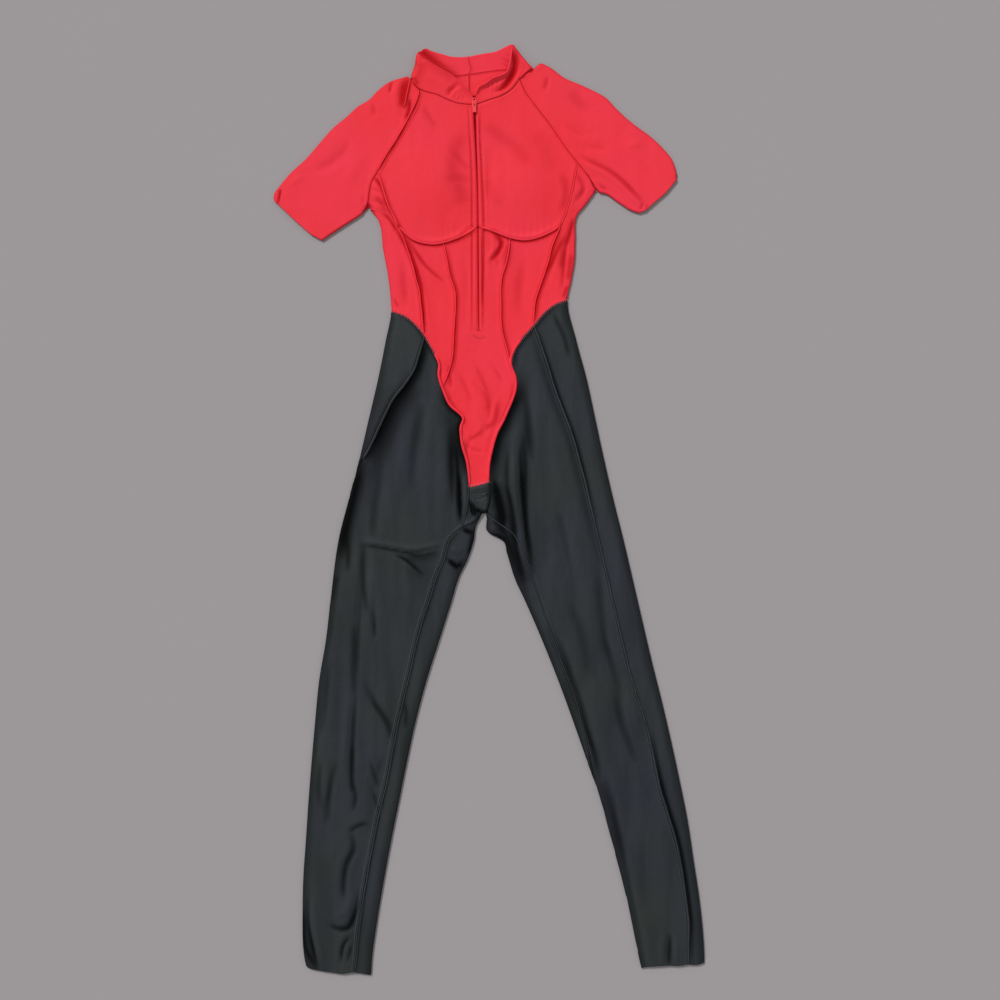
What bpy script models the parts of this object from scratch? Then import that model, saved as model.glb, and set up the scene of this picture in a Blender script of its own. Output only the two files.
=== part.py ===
"""Workout jumpsuit laid flat on its back: knit panels, stand collar, raglan sleeves and a front zip.

Left and right are as seen from above. Tables are in millimetres: x from the centre of the
laid garment, up from the lowest hem. Each panel is an outline in the skin of a flat tube.
"""

import bisect
import math

import bmesh
import bpy
from mathutils import Vector

MM = 0.001
LENGTH = 1394.0
CLOTH = 1.2
FOLD_RADIUS = 1.5
SEAM_HALF_GAP = 0.2
FRONT_REST = 2.5
FRONT_LOWEST = 2.15
FOLD_BLEND = 12.0
SEAM_STEP = 15.0
RAGLAN_STEP = 8.0
MERGE_DISTANCE = 0.0001
ALONG_SCALE = 0.01
SAME_POINT = 0.0001
ARC_STEPS = 3
COLLAR_ROW = 10.0
TORSO_ROW = 20.0
SLEEVE_ROW = 24.0
LEG_ROW = 40.0

# Edges of the laid garment, as rows of (up, x).
LEFT_EDGE = (
    (1400, -198), (1198, -198), (1158, -190), (1150, -182), (1144, -177), (1131, -166), (1086, -158),
    (1041, -150), (996, -146), (951, -154), (891, -166), (831, -180), (771, -194), (711, -210),
    (651, -225), (561, -237), (501, -244), (441, -254), (381, -260), (261, -270), (201, -274),
    (141, -278), (66, -279), (24, -276), (0, -270),
)
RIGHT_EDGE = (
    (1400, 176), (1198, 172), (1180, 164), (1166, 154), (1150, 142), (1138, 132), (1101, 129),
    (1071, 128), (1041, 123), (1010, 117), (951, 130), (891, 146), (831, 159), (771, 172),
    (711, 186), (651, 201), (561, 222), (471, 243), (411, 258), (351, 272), (291, 285),
    (231, 297), (171, 306), (111, 315), (51, 321), (0, 323),
)
LEFT_INNER_EDGE = (
    (1400, 6), (1011, 6), (756, 4), (712, -5), (702, -8.6), (684, -14), (672, -20), (651, -23), (621, -33),
    (594, -46), (561, -56), (501, -75), (441, -94), (381, -110), (321, -123), (261, -135),
    (201, -147), (141, -158), (81, -168), (21, -176), (0, -177),
)
RIGHT_INNER_EDGE = (
    (1400, -30), (1011, -30), (756, -24), (712, -11), (702, -7.8), (684, -3), (670, -4), (662, 0), (650, 21),
    (632, 27), (591, 40), (561, 54), (501, 80), (441, 104), (381, 126), (321, 147), (261, 168),
    (201, 184), (141, 200), (81, 214), (21, 226), (0, 231),
)
COLLAR_LEFT_EDGE = ((1400, -104), (1383, -106), (1374, -109), (1361, -111), (1347, -116), (1300, -122))
COLLAR_RIGHT_EDGE = ((1400, 32), (1390, 38), (1377, 48), (1366, 57), (1356, 66), (1300, 84))

# Sleeve edges in each sleeve's own frame, as rows of (along, across).
LEFT_SLEEVE_TOP = (
    (-20, 2), (4, -4), (28, -20), (49, -26), (68, -28), (86, -35), (108, -39), (136, -45), (167, -47),
    (198, -49), (227, -54), (254, -55), (270, -53), (278, -45), (300, -40),
)
LEFT_SLEEVE_UNDER = (
    (-20, 90), (130, 88), (180, 77), (199, 71), (206, 69), (219, 65), (244, 56), (271, 47), (278, 45),
    (300, 42),
)
RIGHT_SLEEVE_TOP = (
    (-20, -2), (5, -13), (18, -19), (43, -26), (65, -38), (87, -49), (104, -56), (124, -58), (146, -61),
    (168, -66), (189, -72), (213, -76), (234, -77), (250, -73), (265, -65), (270, -60), (290, -55),
)
RIGHT_SLEEVE_UNDER = (
    (-20, 90), (130, 84), (185, 58), (206, 44), (216, 34), (237, 27), (260, 19), (270, 13), (290, 8),
)

# Seams of the front layer, as rows of (x, up).
NECK_LEFT = ((-117, 1341), (-104, 1326), (-78, 1318), (-63, 1311), (-46, 1305), (-24, 1303))
NECK_RIGHT = ((-20, 1303), (0, 1310), (18, 1316), (34, 1326), (46, 1341), (54, 1350), (66, 1356))
COLLAR_TOP_LEFT = (
    (-105, 1378), (-99, 1372), (-86, 1364), (-69, 1354), (-52, 1344), (-39, 1330), (-30, 1323), (-24, 1316),
)
COLLAR_TOP_RIGHT = (
    (-20, 1317), (-16, 1328), (-5, 1334), (6, 1342), (20, 1347), (28, 1354), (32, 1373), (35, 1391),
)
RAGLAN_LEFT = (
    (-104, 1326), (-107, 1311), (-126, 1272), (-142, 1245), (-159, 1218), (-167, 1202),
    (-176, 1186), (-179, 1172), (-181, 1158),
)
RAGLAN_RIGHT = ((46, 1341), (57, 1318), (88, 1277), (117, 1235), (133, 1215), (150, 1194))
OUTER_LEFT = (
    (-167, 1202), (-159, 1176), (-150, 1149), (-135, 1119), (-124, 1092), (-117, 1072),
    (-110, 1046), (-104, 1024), (-102, 1004), (-97, 956),
)
OUTER_RIGHT = (
    (133, 1215), (129, 1196), (123, 1166), (116, 1143), (108, 1122), (95, 1092), (90, 1072),
    (82, 1046), (74, 1024), (69, 1004), (67, 971),
)
BUST_HEM_LEFT = ((-135, 1119), (-113, 1100), (-88, 1094), (-68, 1096), (-44, 1104), (-17, 1119))
BUST_HEM_RIGHT = ((-15, 1119), (6, 1113), (32, 1103), (55, 1100), (78, 1105), (100, 1116), (108, 1122))
INNER_LEFT = (
    (-68, 1096), (-63, 1072), (-58, 1046), (-51, 1024), (-50, 1004), (-52, 964), (-55, 922),
    (-62, 898), (-70, 878),
)
INNER_RIGHT = (
    (32, 1103), (28, 1072), (20, 1046), (18, 1024), (18, 1004), (19, 970), (26, 940), (32, 916), (41, 893),
)
HIP_LEFT = (
    (-146, 993), (-124, 984), (-108, 970), (-97, 956), (-82, 930), (-75, 914), (-76, 898), (-70, 878),
    (-60, 855), (-44, 840), (-39, 832), (-43, 819), (-41, 796), (-34, 770), (-30, 746), (-30, 730),
)
HIP_RIGHT = (
    (117, 1010), (98, 1002), (82, 989), (67, 971), (50, 952), (38, 933), (34, 916), (41, 893),
    (41, 876), (35, 858), (22, 828), (12, 808), (5, 782), (1, 759), (1, 738),
)
SIDE_LEFT = ((-97, 956), (-106, 924), (-117, 897), (-144, 861), (-154, 842), (-176, 795), (-190, 770))
SIDE_LEFT_BEHIND = ((-204, 700), (-212, 651), (-224, 561), (-246, 381), (-258, 261), (-264, 66), (-262, 8))
SIDE_RIGHT = (
    (67, 971), (78, 942), (100, 873), (128, 796), (157, 682), (173, 612), (194, 522), (215, 438),
    (238, 364), (256, 279), (282, 190), (297, 93), (298, 51), (298, 16),
)
POINT_FOOT = ((-30, 730), (-16, 733), (1, 738))
GUSSET_LEFT = ((-30, 730), (-33, 700), (-40, 670))
GUSSET_RIGHT = ((1, 738), (2, 712), (-5, 692))
INSEAM_LEFT = (
    (-40, 670), (-60, 651), (-69, 621), (-79, 598), (-94, 550), (-106, 513), (-122, 444), (-138, 375),
    (-154, 291), (-170, 222), (-191, 105), (-200, 18), (-201, 4),
)
INSEAM_RIGHT = (
    (-5, 692), (16, 675), (33, 664), (42, 652), (51, 633), (60, 612), (75, 564), (106, 476),
    (132, 404), (150, 330),
)
INSEAM_RIGHT_BEHIND = ((180, 230), (206, 141), (222, 60), (235, 12))
LEG_HEM_LEFT = ((-276, 12), (-262, 8), (-235, 4), (-219, 2), (-201, 4), (-178, 0))
LEG_HEM_RIGHT = ((229, 10), (235, 12), (263, 14), (286, 14), (298, 16), (309, 15), (323, 18))

# Seams of the back layer, as rows of (x, up).
WAIST_BACK = (-16, 972)
COLLAR_CENTRE_TOP = (-30, 1376)
COLLAR_CENTRE_FOOT = (-30, 1349)
COLLAR_TOP_BACK = (
    (-103, 1384), (-95, 1388), (-86, 1384), (-72, 1380), (-58, 1376), (-44, 1375), (-30, 1376),
    (-9, 1380), (9, 1383), (22, 1389), (32, 1394),
)
NECK_BACK = (
    (-117, 1341), (-100, 1337), (-87, 1338), (-74, 1342), (-58, 1346), (-30, 1349), (-3, 1353),
    (22, 1356), (44, 1356), (66, 1356),
)
RAGLAN_LEFT_BACK = ((-87, 1338), (-104, 1290), (-128, 1245), (-148, 1205), (-168, 1170))
RAGLAN_RIGHT_BACK = ((44, 1356), (66, 1305), (94, 1262), (116, 1225), (142, 1198))
CENTRE_BACK = ((-30, 1349), (-29, 1300), (-27, 1236), (-21, 1086), (-16, 972), (-13, 816), (-8.2, 702))
SIDE_LEFT_BACK = ((-148, 1205), (-140, 1140), (-130, 1070), (-122, 989))
SIDE_RIGHT_BACK = ((116, 1225), (108, 1160), (100, 1080), (92, 1000))
HIP_BACK = ((-146, 993), (-122, 989), (-80, 978), (-16, 972), (62, 988), (92, 1000), (117, 1010))

ZIP_TOP = (-22.0, 1317.0)
ZIP_END = (-15.0, 964.0)
ZIP_LINE = (ZIP_TOP, (-21.5, 1293), (-18, 1202), (-16, 1120), ZIP_END)
SLIT_HALF = 1.1

# Relief of the front layer. Domes are rows of (x, up, radius, height).
DOMES = (
    (-92, 1180, 52, 9.0),
    (62, 1182, 52, 9.0),
    (-60, 960, 60, 1.5),
    (-150, 560, 60, 2.0),
    (140, 560, 60, 2.0),
)
# Folds are rows of (x0, up0, x1, up1, half width, height).
FOLDS = (
    (-190, 644, -112, 633, 7, 2.6),
    (-112, 633, -76, 640, 7, 2.2),
    (-134, 628, -96, 598, 8, 1.8),
    (-188, 444, -150, 352, 8, 1.6),
    (-172, 540, -168, 508, 6, 1.6),
    (138, 1216, 232, 1152, 7, 3.0),
    (152, 1182, 172, 1168, 6, 2.4),
    (122, 1112, 116, 1040, 6, 2.0),
    (-148, 1100, -112, 1030, 5, 2.0),
    (-118, 1338, -128, 1296, 6, 1.6),
    (270, 54, 271, 18, 8, 1.8),
    (-218, 74, -198, 104, 8, 1.8),
    (44, 800, 52, 660, 10, 1.6),
)
# Proud seam allowances are rows of (seam, half width, height).
PROUD_SEAMS = (
    (OUTER_LEFT, 3.5, 2.6),
    (OUTER_RIGHT, 3.5, 2.6),
    (INNER_LEFT, 3.0, 2.0),
    (INNER_RIGHT, 3.0, 2.0),
    (BUST_HEM_LEFT, 4.0, 2.4),
    (BUST_HEM_RIGHT, 4.0, 2.4),
    (HIP_LEFT, 3.0, 1.2),
    (HIP_RIGHT, 3.0, 1.2),
    (SIDE_LEFT, 4.0, 3.2),
    (SIDE_RIGHT, 4.0, 3.0),
    (RAGLAN_LEFT, 3.0, 1.0),
    (RAGLAN_RIGHT, 3.0, 1.0),
)
PLACKET_HALF = 9.0
PLACKET_RISE = 1.5

# Ends of the seams round each armpit, as (x, up), on the body and on the sleeve.
LEFT_ARMPIT = (-174, 1144)
LEFT_ARMPIT_BACK = (-170, 1146)
RIGHT_ARMPIT = (150, 1168)
RIGHT_ARMPIT_BACK = (146, 1170)
LEFT_SLEEVE_PIT = (-184, 1148)
LEFT_SLEEVE_PIT_BACK = (-180, 1150)
RIGHT_SLEEVE_PIT = (160, 1178)
RIGHT_SLEEVE_PIT_BACK = (154, 1182)
PIT_DROP = 8.0

# Cuffs in each sleeve's frame, as rows of (across, along).
LEFT_CUFF = ((-48, 275), (-34, 276), (-6, 279), (26, 281), (44, 278))
RIGHT_CUFF = ((-64, 267), (-39, 272), (-11, 273), (2, 274), (12, 270))

# Gathers of the gusset.
GUSSET_FOOT = ((-5, 692), (-12, 690), (-24, 677), (-40, 670))
GATHER_PITCH = 10.0
GATHER_HEIGHT = 1.6

# The zip.
TAPE_WIDTH = 7.0
TAPE_THICK = 0.5
TAPE_FLOOR = 1.55
COIL_WIDTH = 3.4
COIL_THICK = 1.5
COIL_GAP = 0.35
SLIDER_UP = 1304.0
SLIDER_FLOOR = 5.3
SLIDER_WIDTH = 7.5
SLIDER_LONG = 10.0
SLIDER_THICK = 1.8
NECK_LONG = 5.0
NECK_WIDE = 1.5
NECK_FLOOR = 3.4
BRIDGE_LONG = 5.2
BRIDGE_WIDE = 1.6
BRIDGE_TALL = 2.8
BRIDGE_BAR = 1.0
HINGE_RISE = 0.9
TAB_LONG = 14.0
TAB_WIDE = 5.4
TAB_THICK = 1.1
TAB_EYE_LONG = 3.4
TAB_EYE_WIDE = 2.8
TAB_BAR = 1.1
OVERCUT = 1.0

RED = (0.82, 0.035, 0.065, 1.0)
BLACK = (0.026, 0.034, 0.038, 1.0)
ZIP_RED = (0.62, 0.02, 0.04, 1.0)


def laid(x, up, z=0.0):
    """A point of the tables as a place in metres."""
    return Vector((x * MM, (up - LENGTH / 2) * MM, z * MM))


def curve_through(rows, step=SEAM_STEP):
    """Points about one step apart on a smooth curve through the rows."""
    points = [Vector(row) for row in rows]
    ends = [2 * points[0] - points[1], *points, 2 * points[-1] - points[-2]]
    made = [points[0].copy()]
    for before, start, stop, after in zip(ends, ends[1:], ends[2:], ends[3:]):
        pieces = max(1, round((stop - start).length / step))
        for piece in range(1, pieces + 1):
            t = piece / pieces
            leave = (stop - before) / 2
            arrive = (after - start) / 2
            hermite = (
                start * (2 * t**3 - 3 * t**2 + 1)
                + leave * (t**3 - 2 * t**2 + t)
                + stop * (3 * t**2 - 2 * t**3)
                + arrive * (t**3 - t**2)
            )
            made.append(hermite)
    return made


class Edge:
    """A smooth fold line, read as across = edge(along)."""

    def __init__(self, rows):
        ordered = sorted(rows)
        self.along = [row[0] for row in ordered]
        self.across = [row[1] for row in ordered]
        slopes = [
            (b - a) / (v - u)
            for a, b, u, v in zip(self.across, self.across[1:], self.along, self.along[1:])
        ]
        middle = [(a + b) / 2 if a * b > 0 else 0.0 for a, b in zip(slopes, slopes[1:])]
        self.slope = [slopes[0], *middle, slopes[-1]]

    def __call__(self, along):
        last = len(self.along) - 2
        i = min(max(bisect.bisect(self.along, along) - 1, 0), last)
        span = self.along[i + 1] - self.along[i]
        t = min(max((along - self.along[i]) / span, 0.0), 1.0)
        return (
            self.across[i] * (2 * t**3 - 3 * t**2 + 1)
            + self.slope[i] * span * (t**3 - 2 * t**2 + t)
            + self.across[i + 1] * (3 * t**2 - 2 * t**3)
            + self.slope[i + 1] * span * (t**3 - t**2)
        )


def from_line(x, up, line):
    """How far a point is from a polyline."""
    best = math.inf
    for start, stop in zip(line, line[1:]):
        run_x = stop[0] - start[0]
        run_y = stop[1] - start[1]
        long = max(run_x * run_x + run_y * run_y, 1e-9)
        t = min(max(((x - start[0]) * run_x + (up - start[1]) * run_y) / long, 0.0), 1.0)
        best = min(best, math.hypot(x - start[0] - t * run_x, up - start[1] - t * run_y))
    return best


def bell(distance, width):
    return math.exp(-((distance / width) ** 2))


def relief(x, up):
    """Height of folds, domes and proud seams over the resting front layer."""
    height = 0.0
    for dome_x, dome_up, radius, rise in DOMES:
        height += rise * bell(math.hypot(x - dome_x, up - dome_up), radius)
    for x0, up0, x1, up1, width, rise in FOLDS:
        height += rise * bell(from_line(x, up, ((x0, up0), (x1, up1))), width)
    proud = 0.0
    for seam, width, rise in PROUD_SEAMS:
        proud = max(proud, rise * bell(from_line(x, up, seam), width))
    beside = max(from_line(x, up, ZIP_LINE) - PLACKET_HALF / 2, 0.0)
    placket = PLACKET_RISE * bell(beside, PLACKET_HALF / 2)
    return max(height + proud, placket + 0.5 * height)


class Tube:
    """A flat tube of cloth, read by turn.

    From 0 to 1 is the front, 1 to 2 a fold, 2 to 3 the back and 3 to 4 the other fold.
    """

    def __init__(
        self, low_edge, high_edge, columns, lift=0.0, origin=(0.0, 0.0), along=(0.0, 1.0), across=(1.0, 0.0)
    ):
        self.low = Edge(low_edge)
        self.high = Edge(high_edge)
        self.columns = columns
        self.lift = lift
        self.origin = Vector(origin)
        self.along_axis = Vector(along).normalized()
        self.across_axis = Vector(across).normalized()

    def local(self, x, up):
        away = Vector((x, up)) - self.origin
        return away.dot(self.across_axis), away.dot(self.along_axis)

    def world(self, across, along):
        return self.origin + across * self.across_axis + along * self.along_axis

    def flat_edges(self, along):
        return self.low(along) + FOLD_RADIUS, self.high(along) - FOLD_RADIUS

    def front_height(self, across, along, reach):
        x, up = self.world(across, along)
        resting = max(FRONT_REST + self.lift + relief(x, up), FRONT_LOWEST)
        fold_top = CLOTH / 2 + 2 * FOLD_RADIUS
        return resting + (fold_top - resting) * bell(max(reach, 0.0), FOLD_BLEND)

    def points(self, line, layer, lap=0):
        """Points of a line, as turn and along, on the front or the back layer."""
        made = []
        for x, up in line:
            across, along = self.local(x, up)
            low, high = self.flat_edges(along)
            share = min(max((across - low) / (high - low), 0.0), 1.0)
            turn = share if layer == "front" else 3.0 - share
            made.append((turn + 4 * lap, along))
        return made

    def place(self, turn, along):
        """The middle of the cloth there, and the direction that points out of the tube."""
        low, high = self.flat_edges(along)
        quarter = turn % 4.0
        back = CLOTH / 2
        if quarter <= 1.0:
            across = low + quarter * (high - low)
            z = self.front_height(across, along, min(across - low, high - across))
            side, rise = 0.0, 1.0
        elif 2.0 <= quarter <= 3.0:
            across = high - (quarter - 2.0) * (high - low)
            z = back
            side, rise = 0.0, -1.0
        else:
            swing = math.pi * (2.0 - quarter if quarter < 2.0 else quarter - 3.0)
            side = math.sin(swing) if quarter < 2.0 else -math.sin(swing)
            rise = -math.cos(swing)
            across = (high if quarter < 2.0 else low) + FOLD_RADIUS * side
            z = back + FOLD_RADIUS * (1.0 + rise)
        x, up = self.world(across, along)
        return laid(x, up, z), Vector((*(side * self.across_axis), rise))

    def cuts(self, low_turn, high_turn):
        """The turns at which a panel is divided lengthwise."""
        made = []
        for quarter in range(math.floor(low_turn), math.ceil(high_turn)):
            pieces = (self.columns, ARC_STEPS, self.columns // 2, ARC_STEPS)[quarter % 4]
            made += [quarter + piece / pieces for piece in range(pieces)]
        return made


TORSO = Tube(LEFT_EDGE, RIGHT_EDGE, columns=16)
GUSSET = Tube(LEFT_EDGE, RIGHT_EDGE, columns=26, lift=1.4)
LEFT_LEG = Tube(LEFT_EDGE, LEFT_INNER_EDGE, columns=6)
RIGHT_LEG = Tube(RIGHT_INNER_EDGE, RIGHT_EDGE, columns=6)
COLLAR = Tube(COLLAR_LEFT_EDGE, COLLAR_RIGHT_EDGE, columns=12, lift=0.4)
LEFT_SLEEVE = Tube(
    LEFT_SLEEVE_TOP, LEFT_SLEEVE_UNDER, columns=7, origin=(-115.5, 1347.0),
    along=(-0.61, -0.79), across=(0.79, -0.61),
)
RIGHT_SLEEVE = Tube(
    RIGHT_SLEEVE_TOP, RIGHT_SLEEVE_UNDER, columns=7, origin=(66.0, 1360.5),
    along=(0.62, -0.785), across=(-0.785, -0.62),
)


def stretch(curve, start, stop):
    """The part of a sampled curve from one of its points to another, in that order."""
    first = min(range(len(curve)), key=lambda i: (curve[i] - Vector(start)).length)
    last = min(range(len(curve)), key=lambda i: (curve[i] - Vector(stop)).length)
    if first <= last:
        return curve[first:last + 1]
    return curve[last:first + 1][::-1]


def same_place(one, other):
    return abs(one[0] - other[0]) + abs(one[1] - other[1]) * ALONG_SCALE < SAME_POINT


def without_repeats(outline):
    kept = []
    for place in outline:
        if not kept or not same_place(place, kept[-1]):
            kept.append(place)
    if same_place(kept[0], kept[-1]):
        kept.pop()
    return kept


def draw_in(bm, distance):
    """Moves the open border of a surface inwards, along the surface."""
    bm.normal_update()
    moves = {}
    for vert in bm.verts:
        inward = []
        for edge in vert.link_edges:
            if edge.is_boundary:
                face = edge.link_faces[0]
                run = (edge.verts[1].co - edge.verts[0].co).normalized()
                side = face.normal.cross(run)
                if side.dot(face.calc_center_median() - edge.verts[0].co) < 0:
                    side.negate()
                inward.append(side)
        if len(inward) == 2:
            both = inward[0] + inward[1]
            moves[vert] = both * distance / max(1.0 + inward[0].dot(inward[1]), 0.4)
    for vert, move in moves.items():
        vert.co += move


def thicken(bm, thickness):
    """Gives an open surface its wall, half on each side, along the directions kept on its points."""
    out = bm.verts.layers.float_vector["out"]
    inner = list(bm.verts)
    made = bmesh.ops.extrude_face_region(bm, geom=list(bm.faces), use_keep_orig=True)
    outer = [item for item in made["geom"] if isinstance(item, bmesh.types.BMVert)]
    for verts, half in ((inner, -thickness / 2), (outer, thickness / 2)):
        for vert in verts:
            vert.co += vert[out] * half
            vert.co.z = max(vert.co.z, 0.0)
    bmesh.ops.recalc_face_normals(bm, faces=bm.faces)
    if bm.calc_volume(signed=True) < 0:
        bmesh.ops.reverse_faces(bm, faces=bm.faces)


def make_panel(name, tube, outline, row_height, material, raise_by=None):
    """A named panel of cloth from its outline in a tube's turn and along."""
    outline = without_repeats(outline)
    bm = bmesh.new()
    out = bm.verts.layers.float_vector.new("out")
    bm.faces.new([bm.verts.new((turn, along * ALONG_SCALE, 0.0)) for turn, along in outline])
    turns = [turn for turn, _ in outline]
    alongs = [along for _, along in outline]
    first_row = math.ceil(min(alongs) / row_height)
    last_row = math.floor(max(alongs) / row_height)
    planes = [((turn, 0.0, 0.0), (1.0, 0.0, 0.0)) for turn in tube.cuts(min(turns), max(turns))]
    for row in range(first_row, last_row + 1):
        planes.append(((0.0, row * row_height * ALONG_SCALE, 0.0), (0.0, 1.0, 0.0)))
    for place, normal in planes:
        geometry = [*bm.verts, *bm.edges, *bm.faces]
        bmesh.ops.bisect_plane(bm, geom=geometry, plane_co=place, plane_no=normal)
    for vert in bm.verts:
        middle, outwards = tube.place(vert.co.x, vert.co.y / ALONG_SCALE)
        if raise_by and outwards.z == 1.0:
            middle.z += raise_by(vert.co.y / ALONG_SCALE) * MM
        vert.co = middle
        vert[out] = outwards
    bmesh.ops.remove_doubles(bm, verts=bm.verts, dist=MERGE_DISTANCE)
    draw_in(bm, SEAM_HALF_GAP * MM)
    thicken(bm, CLOTH * MM)
    mesh = bpy.data.meshes.new(name)
    bm.to_mesh(mesh)
    bm.free()
    mesh.shade_smooth()
    mesh.set_sharp_from_angle(angle=math.radians(50))
    mesh.materials.append(material)
    panel = bpy.data.objects.new(name, mesh)
    bpy.data.collections["Jumpsuit"].objects.link(panel)


def make_material(name, colour, roughness):
    material = bpy.data.materials.new(name)
    material.use_nodes = True
    shader = material.node_tree.nodes["Principled BSDF"]
    shader.inputs["Base Color"].default_value = colour
    shader.inputs["Roughness"].default_value = roughness
    material.diffuse_color = colour
    return material


def clear_scene():
    for item in list(bpy.data.objects):
        bpy.data.objects.remove(item)
    for name in ("Jumpsuit", "Cutters"):
        collection = bpy.data.collections.new(name)
        bpy.context.scene.collection.children.link(collection)


def zip_side(side, top, foot):
    """Points down one side of the zip slit."""
    line = curve_through(ZIP_LINE)
    return [Vector((x + side * SLIT_HALF, up)) for x, up in line if foot <= up <= top]


def make_collar(red):
    top_left = curve_through(COLLAR_TOP_LEFT)
    top_right = curve_through(COLLAR_TOP_RIGHT)
    top_back = curve_through(COLLAR_TOP_BACK)
    neck_left = curve_through(NECK_LEFT)
    neck_right = curve_through(NECK_RIGHT)
    neck_back = curve_through(NECK_BACK)
    left = COLLAR.points(neck_left[::-1], "front", lap=1)
    left += COLLAR.points(stretch(neck_back, NECK_BACK[0], COLLAR_CENTRE_FOOT), "back")
    left += COLLAR.points(stretch(top_back, COLLAR_CENTRE_TOP, COLLAR_TOP_BACK[0]), "back")
    left += COLLAR.points(top_left, "front", lap=1)
    make_panel("collar_left", COLLAR, left, COLLAR_ROW, red)
    right = COLLAR.points(neck_right, "front")
    right += COLLAR.points(stretch(neck_back, NECK_BACK[-1], COLLAR_CENTRE_FOOT), "back")
    right += COLLAR.points(stretch(top_back, COLLAR_CENTRE_TOP, COLLAR_TOP_BACK[-1]), "back")
    right += COLLAR.points(top_right[::-1], "front")
    make_panel("collar_right", COLLAR, right, COLLAR_ROW, red)


def make_bust_panels(red):
    raglan = curve_through(RAGLAN_LEFT, RAGLAN_STEP)
    outer = curve_through(OUTER_LEFT)
    left = stretch(curve_through(NECK_LEFT), NECK_LEFT[-1], RAGLAN_LEFT[0])
    left += stretch(raglan, RAGLAN_LEFT[0], OUTER_LEFT[0])
    left += stretch(outer, OUTER_LEFT[0], BUST_HEM_LEFT[0])
    left += curve_through(BUST_HEM_LEFT)
    left += zip_side(-1, NECK_LEFT[-1][1] - 1, BUST_HEM_LEFT[-1][1] + 1)[::-1]
    make_panel("bust_left", TORSO, TORSO.points(left, "front"), TORSO_ROW, red)
    raglan = curve_through(RAGLAN_RIGHT, RAGLAN_STEP)
    outer = curve_through(OUTER_RIGHT)
    right = stretch(curve_through(NECK_RIGHT), NECK_RIGHT[0], RAGLAN_RIGHT[0])
    right += stretch(raglan, RAGLAN_RIGHT[0], OUTER_RIGHT[0])
    right += stretch(outer, OUTER_RIGHT[0], BUST_HEM_RIGHT[-1])
    right += curve_through(BUST_HEM_RIGHT)[::-1]
    right += zip_side(1, NECK_RIGHT[0][1] - 1, BUST_HEM_RIGHT[0][1] + 1)[::-1]
    make_panel("bust_right", TORSO, TORSO.points(right, "front"), TORSO_ROW, red)


def make_front_panels(red):
    hip_left = curve_through(HIP_LEFT)
    hip_right = curve_through(HIP_RIGHT)
    inner_left = curve_through(INNER_LEFT)
    inner_right = curve_through(INNER_RIGHT)
    hem_left = curve_through(BUST_HEM_LEFT)
    hem_right = curve_through(BUST_HEM_RIGHT)
    centre = inner_left[::-1]
    centre += stretch(hem_left, INNER_LEFT[0], BUST_HEM_LEFT[-1])
    centre += zip_side(-1, BUST_HEM_LEFT[-1][1] - 1, ZIP_END[1])
    centre += zip_side(1, BUST_HEM_RIGHT[0][1] - 1, ZIP_END[1])[::-1]
    centre += stretch(hem_right, BUST_HEM_RIGHT[0], INNER_RIGHT[0])
    centre += inner_right
    centre += stretch(hip_right, INNER_RIGHT[-1], HIP_RIGHT[-1])
    centre += curve_through(POINT_FOOT)[::-1]
    centre += stretch(hip_left, HIP_LEFT[-1], INNER_LEFT[-1])
    make_panel("front_centre", TORSO, TORSO.points(centre, "front"), TORSO_ROW, red)
    left = stretch(curve_through(OUTER_LEFT), BUST_HEM_LEFT[0], OUTER_LEFT[-1])
    left += stretch(hip_left, OUTER_LEFT[-1], INNER_LEFT[-1])
    left += inner_left[::-1]
    left += stretch(hem_left, INNER_LEFT[0], BUST_HEM_LEFT[0])
    make_panel("front_mid_left", TORSO, TORSO.points(left, "front"), TORSO_ROW, red)
    right = stretch(curve_through(OUTER_RIGHT), BUST_HEM_RIGHT[-1], OUTER_RIGHT[-1])
    right += stretch(hip_right, OUTER_RIGHT[-1], INNER_RIGHT[-1])
    right += inner_right[::-1]
    right += stretch(hem_right, INNER_RIGHT[0], BUST_HEM_RIGHT[-1])
    make_panel("front_mid_right", TORSO, TORSO.points(right, "front"), TORSO_ROW, red)


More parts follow.
